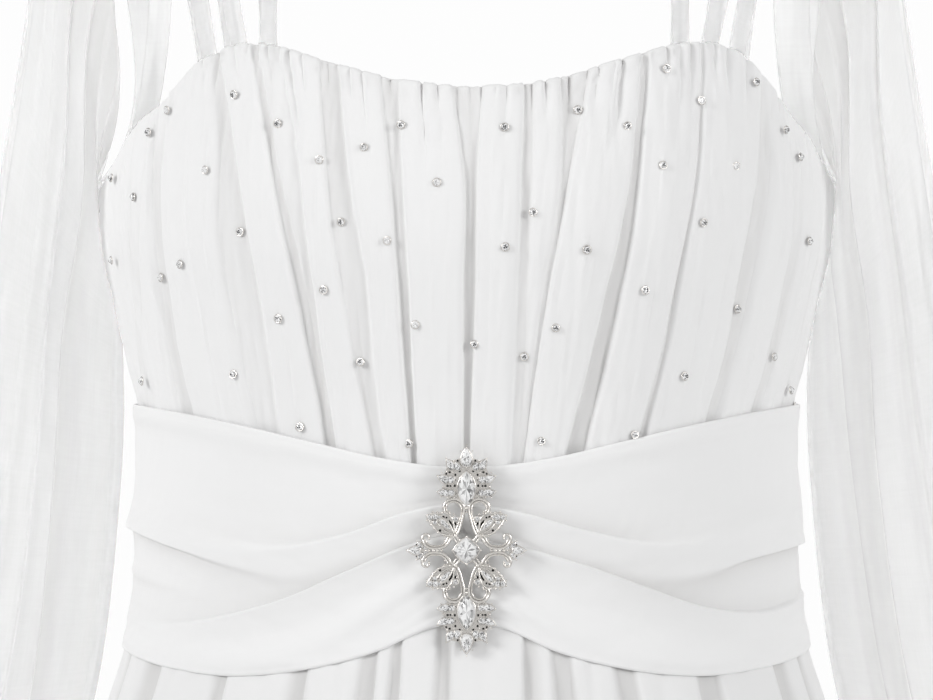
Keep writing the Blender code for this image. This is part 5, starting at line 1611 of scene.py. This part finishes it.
def joined(name, parts, finish, slot, smooth_faces, reflections=None):
    """One mesh of many closed parts; the last argument, if given, is each face's painted reflection."""
    offsets = np.cumsum([0] + [len(points) for points, _ in parts[:-1]])
    points = np.concatenate([points for points, _ in parts])
    faces = []
    for (_, part_faces), offset in zip(parts, offsets):
        faces += [[index + int(offset) for index in face] for face in part_faces]
    mesh = bpy.data.meshes.new(name)
    mesh.from_pydata(points * MM, [], faces)
    mesh.materials.append(finish)
    if smooth_faces:
        mesh.shade_smooth()
    if reflections is not None:
        facet_reflection = mesh.attributes.new("facet_reflection", "FLOAT", "FACE")
        facet_reflection.data.foreach_set("value", np.concatenate(reflections))
    outside = bmesh.new()
    outside.from_mesh(mesh)
    bmesh.ops.recalc_face_normals(outside, faces=outside.faces)
    outside.to_mesh(mesh)
    outside.free()
    return piece(name, mesh, slot)


def drop_outline(half_width, half_length, point, count):
    """Outline of a stone: point 0 is an oval, 1 a drop with its tip up, 2 pointed at both ends."""
    turn = circle(count) + np.pi / 2
    if point < 1.5:
        narrow = 1 - point + 1.25 * point * np.sqrt((1.02 - np.sin(turn)) / 2)
    else:
        narrow = np.abs(np.cos(turn))**0.85
    return np.stack([half_width * np.cos(turn) * narrow, half_length * np.sin(turn)], axis=1)


def cut_stone(outline, high, seed, pale=0.0):
    """A cut stone on an outline (n, 2): girdle, a ring of triangles, a ring of kites and the table.

    The last column is the height.  Each facet's painted reflection is drawn from bright, middle and
    dark ones.
    """
    count = len(outline)
    draw = np.random.default_rng(seed)
    between = 0.5 * (outline + np.roll(outline, -1, axis=0))
    rings = [np.column_stack([ring * size, np.full(count, level * high)])
             for ring, (size, level) in zip((outline, outline, between, outline), STONE_RINGS)]
    points = np.concatenate(rings + [np.array([[0.0, 0.0, high * TABLE_MIDDLE]])])
    back, girdle, waist, table = (np.arange(count) + count * row for row in range(4))
    step = np.roll(np.arange(count), -1)
    centre = 4 * count
    faces = [back[::-1].tolist()]
    faces += np.stack([back, back[step], girdle[step], girdle], axis=1).tolist()
    faces += np.stack([girdle, girdle[step], waist], axis=1).tolist()
    faces += np.stack([girdle[step], waist[step], waist], axis=1).tolist()
    faces += np.stack([waist, waist[step], table[step]], axis=1).tolist()
    faces += np.stack([waist, table[step], table], axis=1).tolist()
    faces += np.stack([table, table[step], np.full(count, centre)], axis=1).tolist()
    # Painted reflections: each facet's value stands for the light it sends back; pale lifts them all
    # towards white, and below 0 leaves the table dark but for one facet in four
    crown = draw.choice(CROWN_REFLECTIONS[0], size=4 * count, p=CROWN_REFLECTIONS[1])
    flat = draw.choice(TABLE_REFLECTIONS[0], size=count, p=TABLE_REFLECTIONS[1])
    if pale < 0.0:
        flat = np.where(np.arange(count) % 4 == seed % 4, 0.9, 0.0)
    tone = np.concatenate([np.full(1 + count, 0.5), crown, flat])
    return points, faces, np.clip(tone + np.clip(pale, 0.0, 1.0) * (1 - tone), 0.0, 1.0)


def place_in_plane(points, across, up, turned, front):
    """Turn a flat part (x, y, height) by degrees and stand it up: height comes towards -Y."""
    angle = math.radians(turned)
    x = across + points[:, 0] * math.cos(angle) - points[:, 1] * math.sin(angle)
    z = up + points[:, 0] * math.sin(angle) + points[:, 1] * math.cos(angle)
    return np.stack([x, front - points[:, 2], z], axis=1)


print("triangles in a bead:", len(BALL[1]))

# %% [markdown]
# ## The ornament
#
# It is an upright openwork brooch, nearly the same up and down and to both sides.  Two long
# pointed stones sit above and below a cushion stone, with small drops round them; scrolls of wire
# and four palmettes fill the space between.  The tables below give one quarter in millimetres
# from the middle, and the script mirrors it.

# %% Ornament
BROOCH_MIDDLE = -317.4
plate_box = np.array([corner[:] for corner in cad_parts["brooch_frame"].bound_box])
BROOCH_BACK = float(plate_box[:, 1].max()) / MM
QUARTERS = ((1.0, 1.0), (-1.0, 1.0), (1.0, -1.0), (-1.0, -1.0))

# Millimetres out from the ornament's back: large and small stones, plates, holes, the beads of a
# quarter and those on the middle lines; then the plates' thickness
STONE_OUT, SMALL_STONE_OUT, PLATE_OUT, HOLE_OUT = 1.5, 1.2, 0.9, 0.95
BEAD_OUT, LINE_BEAD_OUT = 0.6, 0.7
PLATE_THICK = 0.6

# How much larger the small stones are than their table says, and a rim's size against its stone,
# its height and its wire's radius in millimetres
SMALL_STONE_SIZE = 1.1
SMALL_RIM, LARGE_RIM, MIDDLE_RIM = (1.08, 1.15, 0.24), (1.04, 1.3, 0.32), (1.05, 1.3, 0.36)

# A large stone: its height, and how far its facets' painted reflections are lifted towards white
LARGE_HIGH, LARGE_REFLECTION_LIFT, MIDDLE_HIGH, MIDDLE_REFLECTION_LIFT = 2.4, 0.15, 2.9, 0.3

# Wires of one quarter: radius, height of the middle, and the points they run through
QUARTER_WIRES = (
    (0.56, 1.3,
     ((1.1, 17.6), (2.2, 18.9), (3.9, 19.8), (6.2, 19.7), (8, 18.6), (8.8, 16.8), (8.5, 15), (7.4, 14.2))),
    (0.42, 1.1,
     ((2.1, 16.6), (2.9, 18), (4.3, 18.8), (6, 18.7), (7.3, 17.7), (7.8, 16.3), (7.5, 15.2), (6.6, 14.9))),
    (0.56, 1.4, ((0.9, 17.6), (1, 14.6), (1.7, 11.6), (2.5, 8.7), (3.7, 6.2))),
    (0.40, 1.1, ((1.9, 16.4), (2.1, 13.6), (2.9, 10.8), (3.8, 8.4), (4.6, 6.4))),
    (0.56, 1.4, ((4.3, 5.9), (3.6, 4.9), (2.7, 3.9))), (0.40, 1.2, ((5.3, 5), (4.6, 4.2), (3.9, 3.2))),
    (0.56, 1.4,
     ((4.4, 5.6), (6, 4.6), (7, 3), (8.6, 1.5), (11, 0.8), (14, 0.9), (16.2, 2.3), (17.1, 4.1),
      (16.6, 5.9), (15.2, 6.2), (14.5, 5.2))),
    (0.42, 1.1, ((7.2, 5), (8, 3.4), (9.4, 2.1), (11.4, 1.7), (13.7, 1.8), (15.3, 2.9), (16, 4.1))),
    (0.34, 0.9, ((6.2, 5.4), (7.4, 5.6), (8.6, 5.4))),
    (0.40, 1.1,
     ((4.3, 6), (4.8, 8.4), (5.2, 10.8), (5.9, 12.8), (7.6, 14.2), (9.8, 14.4), (12, 14.3), (13.6, 14.2))),
    (0.40, 1.1, ((4.8, 5.8), (7.4, 5.9), (10, 6.6), (12, 8.2), (13.6, 10.2), (14.8, 12))),
    (0.30, 1.2, ((5, 6.8), (6, 9.2), (7.4, 11.4), (9.2, 12.6))),
    (0.30, 1.2, ((5.4, 6.3), (7.8, 7.3), (9.9, 8.8), (11.2, 10.6))),
)

# Beads of one quarter: across, up, radius
QUARTER_BEADS = (
    (4.4, 5.8, 0.8), (6.4, 5.9, 0.5), (9.3, 14.7, 0.5), (11.2, 14.8, 0.45), (13, 14.9, 0.45),
    (15.3, 13.6, 0.45), (12.6, 8.6, 0.5), (10.9, 7, 0.5), (8.9, 6.1, 0.5), (13.8, 10, 0.5),
    (3.6, 10.4, 0.5), (3.2, 12.6, 0.45), (4.9, 14, 0.45), (6.4, 14.3, 0.4), (15.3, 11.6, 0.4),
    (7.9, 35.6, 0.32), (11.3, 28.9, 0.32), (11.1, 22.7, 0.32), (7.6, 30.6, 0.5), (9, 24.6, 0.5),
    (5.2, 30.2, 0.4), (5.4, 24.6, 0.4), (4.7, 20.4, 0.45), (7.4, 20.4, 0.4), (19.3, 3.6, 0.35),
    (2.3, 38.4, 0.3), (5, 34.6, 0.4), (1.9, 31.5, 0.35), (9.6, 30, 0.35), (9.8, 20.6, 0.35), (8.4, 4, 0.4),
    (14.5, 4.6, 0.5),
)
MIDDLE_BEADS = (
    (9.6, 0, 0.5), (11.2, 0, 0.62), (12.8, 0, 0.62), (14.4, 0, 0.62), (15.7, 0, 0.5), (23.1, 0, 0.32),
    (5.3, 0, 0.55),
)
UPRIGHT_BEADS = ((0, 40.7, 0.32), (0, 16.3, 0.7), (0, 14.8, 0.5), (0, 5.3, 0.55), (0, 31.9, 0.4))

# Small stones of one quarter: across, up, half width, half length, point, degrees turned, height
QUARTER_STONES = (
    (6.4, 33.3, 1.35, 2.1, 1, -32, 1.4), (3.6, 32.5, 1.25, 1.5, 0.6, -14, 1.2),
    (9, 27.7, 1.4, 2.1, 1, -64, 1.4), (6.1, 27.4, 1.25, 1.4, 0.5, -60, 1.2),
    (8.9, 22.3, 1.35, 2.1, 1, -84, 1.4), (6, 22.2, 1.2, 1.4, 0.5, -90, 1.2),
    (7.9, 9.8, 0.95, 2.7, 1, 135, 0.9), (14.1, 12.8, 1, 1, 0, 0, 1), (12, 12.9, 1.1, 1.1, 0, 0, 1),
    (4.2, 12.2, 0.95, 0.95, 0, 0, 0.9), (12.2, 10.8, 0.75, 0.75, 0, 0, 0.7),
    (18, 2.1, 0.9, 1.2, 0.6, -25, 1.1), (10.4, 12.9, 0.6, 0.6, 0, 0, 0.6),
)

# Holes of one quarter: across, up, half width, half length; then, unless both are 0, the point and
# the degrees turned
QUARTER_HOLES = (
    (4.3, 29.2, 0.42, 0.5), (4.45, 27.3, 0.42, 0.5), (4.5, 25, 0.42, 0.55), (4.3, 22, 0.4, 0.5),
    (4, 19.8, 0.42, 0.5), (6.5, 30.2, 0.5, 0.42), (7.3, 24.9, 0.55, 0.42), (3.4, 34.6, 0.4, 0.5),
    (2.6, 30.6, 0.42, 0.42), (4.9, 31.5, 0.35, 0.5), (6.2, 24.9, 0.4, 0.4), (7.8, 29.6, 0.4, 0.4),
    (7.4, 26, 0.35, 0.5), (7.2, 21, 0.35, 0.4), (5.8, 20.1, 0.5, 0.35, 0, 20),
    (5.9, 9.9, 0.55, 2.3, 2, -24), (8.4, 7.7, 0.4, 1.9, 2, -62), (11.2, 10.6, 0.55, 0.55),
    (8.9, 12.9, 0.5, 0.5), (7.7, 12.7, 0.4, 0.4), (10.2, 7.7, 0.5, 0.5), (13, 11.7, 0.3, 0.4),
    (4.2, 10.3, 0.4, 0.7, 0, -15), (6.1, 12.9, 0.35, 0.4), (16.9, 1.2, 0.35, 0.45), (19.3, 2.2, 0.3, 0.4),
)

# Large stones: the solid nodes they replace, across, up, half width, half length, point, degrees
LARGE_STONES = (
    ("brooch_stone_peak", 0, 36, 2.35, 3.7, 1, 0), ("brooch_stone_top", 0, 23.8, 3.5, 6.7, 2, 0),
    ("brooch_stone_bottom", 0, -23.8, 3.5, 6.7, 2, 0), ("brooch_stone_foot", 0, -36, 2.35, 3.7, 1, 180),
    ("brooch_stone_left", -20.2, 0, 1.7, 2.4, 1, 90), ("brooch_stone_right", 20.2, 0, 1.7, 2.4, 1, -90),
)
CUSHION = 4.05

# Plates that carry the stones: outlines of one half, across and up
CLUSTER_BACK = (
    (0, 38.6), (1.9, 36.6), (2.9, 35.4), (4.4, 35), (6.9, 34.6), (7.6, 32), (8.4, 30), (10.2, 28.4),
    (9.6, 26.6), (8.4, 25), (9.8, 23.4), (9.6, 21.2), (7.2, 20.4), (4.9, 19.6), (1.6, 17), (0, 15.6),
)
PALMETTE_BACK = (
    (4.3, 5.6), (5.1, 9), (5.4, 11.4), (6.9, 13.2), (10, 14), (13.4, 13.6), (14.2, 11.4), (12.4, 8.9),
    (9.8, 7), (6.4, 5.7),
)
SIDE_BACK = ((16.2, 0), (17.4, 2.9), (19, 2.6), (22, 0), (19, -2.6), (17.4, -2.9))


def on_back(outline, out, thick=PLATE_THICK):
    """A thin plate in the ornament's plane, its front a height above the ornament's back."""
    outline = np.asarray(outline, float)
    count = len(outline)
    ring = np.insert(outline, 1, BROOCH_BACK - out, axis=1)
    points = np.concatenate([ring, ring + (0.0, thick, 0.0)])
    here = np.arange(count)
    sides = grid_quads(2, count, tube=True).reshape(-1, 4).tolist()
    return points, [here.tolist(), (here[::-1] + count).tolist()] + sides


def in_front(path, high):
    """A flat path (n, 2) stood up at a height above the ornament's back."""
    path = np.asarray(path, float)
    return np.stack([path[:, 0], np.full(len(path), BROOCH_BACK - high), path[:, 1]], axis=1)


def bezel(outline, place, rim):
    """A ring of wire round a stone's outline."""
    size, high, radius = rim
    flat = np.column_stack([outline * size, np.zeros(len(outline))])
    return wire(place_in_plane(flat, *place, BROOCH_BACK - high), radius, ring=True, sides=6)


def cushion_outline(half, count):
    """A square with round corners that stands on one corner."""
    turn = circle(count)
    x, y = np.cos(turn), np.sin(turn)
    reach = (np.abs(x + y)**5.0 + np.abs(x - y)**5.0) / 2**2.5
    return half * np.stack([x, y], axis=1) / reach[:, None]**0.2


def ornament():
    """Lists of parts: silver wires, beads and rims, plates, painted hole shadows, small stones, and the
    small stones' painted facet reflections.
    """
    silver, plates, holes, stones, reflections = [], [], [], [], []
    for across, up in QUARTERS:
        sign = np.array([across, up])
        for radius, high, points in QUARTER_WIRES:
            silver.append(wire(in_front(curve_through(points, 4) * sign, high), radius))
        # Each hole gets a dark disc behind it: painted shadow in the opening
        for x, z, wide, tall, *drop in QUARTER_HOLES:
            point, turned = drop or (0, 0)
            flat = np.column_stack([drop_outline(wide, tall, point, 10), np.zeros(10)])
            hole = place_in_plane(flat, x, z, turned, 0.0)
            holes.append(on_back(hole[:, [0, 2]] * sign, HOLE_OUT, 0.2))
        for x, z, radius in QUARTER_BEADS:
            silver.append(bead((x * across, BROOCH_BACK - BEAD_OUT - radius, z * up), radius))
        for number, (x, z, wide, tall, point, turned, high) in enumerate(QUARTER_STONES):
            outline = SMALL_STONE_SIZE * drop_outline(wide, tall, point, 12)
            place = (x * across, z * up, (turned if up > 0 else 180.0 - turned) * across)
            part, faces, tone = cut_stone(outline, high, 400 + 7 * number + int(2 * across + up))
            stones.append((place_in_plane(part, *place, BROOCH_BACK - SMALL_STONE_OUT), faces))
            reflections.append(tone)
            silver.append(bezel(outline, place, SMALL_RIM))
        plates.append(on_back(np.asarray(PALMETTE_BACK) * sign, PLATE_OUT))
    half = np.asarray(CLUSTER_BACK)
    whole = np.concatenate([half, half[-2:0:-1] * (-1.0, 1.0)])
    for side in (1.0, -1.0):
        plates.append(on_back(whole * (1.0, side), PLATE_OUT))
        plates.append(on_back(np.asarray(SIDE_BACK) * (side, 1.0), PLATE_OUT))
        for beads, sign in ((MIDDLE_BEADS, (side, 1.0)), (UPRIGHT_BEADS, (1.0, side))):
            for x, z, radius in beads:
                centre = (x * sign[0], BROOCH_BACK - LINE_BEAD_OUT - radius, z * sign[1])
                silver.append(bead(centre, radius))
    return silver, plates, holes, stones, reflections


def lifted(parts):
    """Move parts from the ornament's middle to its place on the waistband."""
    return [(points + (0.0, 0.0, BROOCH_MIDDLE), faces) for points, faces in parts]


def large_stone(solid, outline, high, seed, pale, place, rim):
    """A large stone that takes the place of a solid one; returns the wire of its rim."""
    # pale lifts the stone's painted reflections towards white
    part, faces, tone = cut_stone(outline, high, seed, pale)
    placed = lifted([(place_in_plane(part, *place, BROOCH_BACK - STONE_OUT), faces)])
    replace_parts(joined(solid + "_cut", placed, CRYSTAL, "crystal", False, [tone]), solid)
    return bezel(outline, place, rim)


silver_parts, plate_parts, hole_parts, small_stones, small_reflections = ornament()
for number, (name, x, z, wide, tall, point, turned) in enumerate(LARGE_STONES):
    outline = drop_outline(wide, tall, point, 20)
    silver_parts.append(large_stone(name, outline, LARGE_HIGH, 300 + number, LARGE_REFLECTION_LIFT,
                                    (x, z, turned), LARGE_RIM))
silver_parts.append(large_stone("brooch_stone_middle", cushion_outline(CUSHION, 16), MIDDLE_HIGH, 314,
                                MIDDLE_REFLECTION_LIFT, (0.0, 0.0, 0.0), MIDDLE_RIM))
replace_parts(joined("brooch_wires", lifted(silver_parts), SILVER, "silver", True), "brooch_frame")
joined("brooch_plates", lifted(plate_parts), SILVER, "silver", False)
# Dark discs behind the holes: painted shadow
joined("brooch_hole_shadows", lifted(hole_parts), HOLE_SHADOW, "silver", False)
joined("brooch_small_stones", lifted(small_stones), CRYSTAL, "crystal", False, small_reflections)
print("ornament:", len(silver_parts), "wires, beads and rims,",
      len(small_stones) + len(LARGE_STONES) + 1, "stones")

# %% [markdown]
# ## Scattered stones
#
# Round cut stones in thin metal cups are sewn over the front, each by itself, and a few on the
# back.  The first table says where they are seen in the picture, in its pixels; a ray from the
# camera through each place finds the cloth there.

# %% Scattered stones
PICTURE_MIDDLE, PICTURE_WIDTH = (466.5, 350.0), 933

# Millimetres: a stone's radius, height and seat, and its cup's height and wire; then the least and
# most size of a stone and its cup's size against it, and how far it may sit askew
STONE_RADIUS, STONE_HIGH, STONE_SEAT = 1.5, 1.1, 0.6
CUP_HEIGHT, CUP_WIRE = 0.55, 0.24
STONE_SIZES, CUP_SIZE, ASKEW = (0.92, 1.06), 1.05, 0.09

# How far a stone's painted reflections are lifted towards white, with how often each comes; -1 is
# one with one facet in four bright
REFLECTION_LIFTS = ((-1.0, 0.0, 0.55), (0.5, 0.25, 0.25))

# The back's stones, and over which shares of its height and width they lie; and how many pixels
# round a place in the picture belong to it
BACK_STONES, BACK_UP, BACK_ACROSS = 30, (0.1, 0.9), (0.03, 0.97)
NEAR_BY = 5.0

# Across and down in the picture, in pixels
STONE_PLACES = (
    (234, 95), (149, 132), (168, 110), (112, 179), (133, 197), (206, 168), (277, 124), (318, 162),
    (364, 144), (402, 124), (435, 179), (505, 127), (577, 111), (628, 127), (665, 68), (701, 102),
    (755, 83), (785, 130), (799, 157), (738, 164), (663, 167), (533, 211), (703, 223), (810, 240),
    (587, 250), (506, 249), (340, 222), (240, 234), (389, 241), (181, 265), (114, 261), (162, 278),
    (323, 292), (645, 289), (738, 311), (556, 325), (417, 323), (474, 341), (278, 320), (360, 359),
    (524, 358), (774, 355), (684, 376), (233, 378), (144, 381), (300, 426), (410, 440), (541, 443),
    (635, 436), (789, 392), (797, 405),
)


def seen_place(points, pixels):
    """Points of a grid nearest to picture pixels, brought out to the foremost cloth beside them.

    Perspective: a pixel is the frame's width over the picture's at the camera's distance, and less
    closer to it.
    """
    flat = points.reshape(-1, 3)
    size = FRAME_WIDTH / PICTURE_WIDTH * (CAMERA_DISTANCE + flat[:, 1]) / CAMERA_DISTANCE
    across = PICTURE_MIDDLE[0] + flat[:, 0] / size
    down = PICTURE_MIDDLE[1] - (flat[:, 2] - CAMERA_HEIGHT) / size
    away = (across - pixels[:, :1])**2 + (down - pixels[:, 1:])**2
    nearest = flat[np.argmin(away, axis=1)]
    near_by = np.where(away < NEAR_BY**2, flat[:, 1], np.inf).min(axis=1)
    nearest[:, 1] = np.minimum(nearest[:, 1], near_by)
    return nearest


def out_direction(places):
    """Outward direction of the oval that passes through each place."""
    half_width, depth = radii_at(places)
    return unit(np.stack([places[:, 0] / half_width**2, places[:, 1] / depth**2, 0.0 * depth], axis=1))


def sewn_stones(places, seed):
    """Cups and stones at places in millimetres, each turned to face outwards and a little askew."""
    draw = np.random.default_rng(seed)
    girdle = np.stack([np.cos(circle(12)), np.sin(circle(12))], axis=1)
    cups, stones, reflections = [], [], []
    for place, out in zip(places, out_direction(places * MM)):
        out = unit(out + draw.normal(0.0, ASKEW, 3))
        right = unit(np.cross(out, (0.0, 0.0, -1.0)))
        frame_axes = np.stack([right, out, np.cross(right, out)])
        radius = STONE_RADIUS * draw.uniform(*STONE_SIZES)
        # How far this stone's painted reflections are lifted towards white
        pale = draw.choice(REFLECTION_LIFTS[0], p=REFLECTION_LIFTS[1])
        part, faces, tone = cut_stone(girdle * radius, STONE_HIGH, int(draw.integers(1000)), pale)
        upright = np.stack([part[:, 0], part[:, 2] + STONE_SEAT, part[:, 1]], axis=1)
        stones.append((place + upright @ frame_axes, faces))
        reflections.append(tone)
        rim = np.insert(girdle * radius * CUP_SIZE, 1, -CUP_HEIGHT, axis=1)
        ring, ring_faces = wire(rim, CUP_WIRE, ring=True, sides=6)
        cups.append((place + (ring * (1.0, -1.0, 1.0)) @ frame_axes, ring_faces))
    return cups, stones, reflections


front_places = seen_place(front_points, np.array(STONE_PLACES, float)) / MM
back_rows, back_columns = back_points.shape[:2]
draw = np.random.default_rng(141)
picked_rows = draw.integers(*(int(share * back_rows) for share in BACK_UP), BACK_STONES)
picked_columns = (np.linspace(*BACK_ACROSS, BACK_STONES) * back_columns).astype(int)
back_places = back_points[picked_rows, picked_columns] / MM
for name, places, seed in (("front", front_places, 151), ("back", back_places, 152)):
    cups, cut, reflections = sewn_stones(places, seed)
    joined("stone_cups_" + name, cups, SILVER, "silver", True)
    joined("scattered_stones_" + name, cut, CRYSTAL, "crystal", False, reflections)
print("scattered stones:", len(front_places) + len(back_places))

# %% [markdown]
# ## Side seams
#
# The front and back panels meet at the sides.  Their edges are turned in and pressed there, which
# is a narrow strip of cloth behind the joint, from the neckline to the hem.

# %% Side seams
SEAM_HALF_WIDTH = 4.2 * MM
SEAM_LIFT = -1.7 * MM
SEAM_HEIGHTS = np.append(np.linspace(-182.0, -380.0, 24), np.linspace(-420.0, -1399.0, 40)) * MM


def seam_surface(side):
    """A strip on the form, a little inside it, from the bodice's top to the hem."""
    height = SEAM_HEIGHTS[:, None]
    across = np.linspace(-SEAM_HALF_WIDTH, SEAM_HALF_WIDTH, 5)
    degrees = side * 90.0 + across / degree_length(side * 90.0, height)
    return body_point(degrees, height, SEAM_LIFT + 0.15 * MM * np.cos(np.pi * across / SEAM_HALF_WIDTH))


for side_name, side in (("left", -1.0), ("right", 1.0)):
    cloth_shell("side_seam_" + side_name, seam_surface(side), SKIRT, "skirt", thickness=0.4 * MM)
print("side seams:", round(2 * SEAM_HALF_WIDTH / MM, 1), "mm wide")

# %% [markdown]
# ## Hand stitches
#
# Small stitches hold the turned neckline inside, and pick up the rolled hems of the skirt and the
# sleeves.  Each is a slim double cone of twisted thread, and each row of them is one mesh.

# %% Stitches
THREAD_RADIUS = 0.14 * MM


def thread_finish():
    """White thread: fine slanting lines of its twist."""
    finish, tree, shader = new_finish("white_thread",
                                      {"Base Color": (0.9, 0.9, 0.9, 1.0), "Roughness": 0.6})
    place = tree.nodes.new("ShaderNodeTexCoord")
    twist = node(tree, "ShaderNodeTexWave",
                 {"Vector": place.outputs["Object"], "Scale": 900.0, "Distortion": 1.0})
    relief = node(tree, "ShaderNodeBump",
                  {"Height": twist.outputs["Fac"], "Strength": 0.4, "Distance": 0.05 * MM})
    feed(tree, shader, {"Normal": relief.outputs[0]})
    return finish


THREAD = thread_finish()


def stitch_row(path, pitch, length, outwards):
    """Middles, directions and outward directions of stitches, evenly spaced along a path (n, 3)."""
    run = np.concatenate([[0.0], np.cumsum(np.linalg.norm(np.diff(path, axis=0), axis=1))])
    middles = np.arange(pitch, run[-1] - pitch, pitch)
    ends = [np.stack([np.interp(middles + half, run, path[:, axis]) for axis in range(3)], axis=1)
            for half in (-length / 2, length / 2)]
    place = (ends[0] + ends[1]) / 2
    away = place - path.mean(axis=0)
    away[:, 2] = 0.0
    return place + outwards * unit(away), unit(ends[1] - ends[0]), unit(away)


def stitches(name, paths, pitch, length, outwards, slot):
    """All stitches along some paths as one mesh of slim octahedra; sizes in millimetres."""
    rows = [stitch_row(path, pitch * MM, length * MM, outwards * MM) for path in paths]
    place, along, out = (np.concatenate(parts) for parts in zip(*rows))
    side = np.cross(along, out)
    reach = along * length * MM / 2
    corners = [place + reach, place + side * THREAD_RADIUS, place + out * THREAD_RADIUS,
               place - side * THREAD_RADIUS, place - out * THREAD_RADIUS, place - reach]
    points = np.stack(corners, axis=1).reshape(-1, 3) / MM
    around = [(1, 2), (2, 3), (3, 4), (4, 1)]
    pattern = np.array([(0, a, b) for a, b in around] + [(5, b, a) for a, b in around])
    faces = (pattern[None] + 6 * np.arange(len(place))[:, None, None]).reshape(-1, 3)
    joined(name, [(points, faces.tolist())], THREAD, slot, True)


stitches("stitches_neckline", [turned_points[-2, 3:-3]], 4.0, 2.2, -0.3, "bodice")
stitches("stitches_hem", HEM_ROWS["skirt"], 7.0, 3.0, 0.35, "skirt")
stitches("stitches_cuffs", HEM_ROWS["sleeves"], 4.5, 2.0, 0.3, "sleeves")
print("stitches done")

# %% [markdown]
# ## What each cloth was cut to
#
# Chiffon hardly stretches, so a panel was cut about as large as its surface is now, and larger
# where it is drawn up into gathers finer than the grid.  The table gives the flat width and length
# in metres, the flat area where the panel isn't a rectangle, how it is held, and on what.

# %% Cloth sheets
STRAP_LENGTHS = (("inner", 0.360), ("middle", 0.350), ("outer", 0.340))
SHEETS = [
    ("bodice_front_cloth", 0.600, 0.165, 0.078, "gathered", "waistband_front_cloth"),
    ("bodice_back_cloth", 0.500, 0.125, 0.052, "gathered", "waistband_back_cloth"),
    ("neckline_turned_edge", 0.500, 0.010, None, "folded", "bodice_front_cloth"),
    ("armhole_band_left_cloth", 0.460, 0.010, None, "folded", "bodice_front_cloth"),
    ("armhole_band_right_cloth", 0.460, 0.013, None, "folded", "bodice_front_cloth"),
    *((f"strap_{side}_{place}_cloth", 0.018, long, None, "folded", "bodice_front_cloth")
      for side in ("left", "right") for place, long in STRAP_LENGTHS),
    *((f"sleeve_{side}_cloth", 0.500, 0.600, 0.200, "hung", f"armhole_band_{side}_cloth")
      for side in ("left", "right")),
    ("waistband_front_cloth", 0.420, 0.110, None, "draped", "bodice_front_cloth"),
    ("waistband_back_cloth", 0.380, 0.105, None, "draped", "bodice_back_cloth"),
    *((f"skirt_{side}_cloth", 2.200, 1.130, 1.600, "gathered", f"waistband_{side}_cloth")
      for side in ("front", "back")),
    *((f"side_seam_{side}", 0.010, 1.290, None, "folded", "skirt_front_cloth")
      for side in ("left", "right")),
]
for name, wide, long, area, held, below in SHEETS:
    print(name, "cut", wide, "x", long, "m; now", round(CUTS[name][2], 4), "square metres")
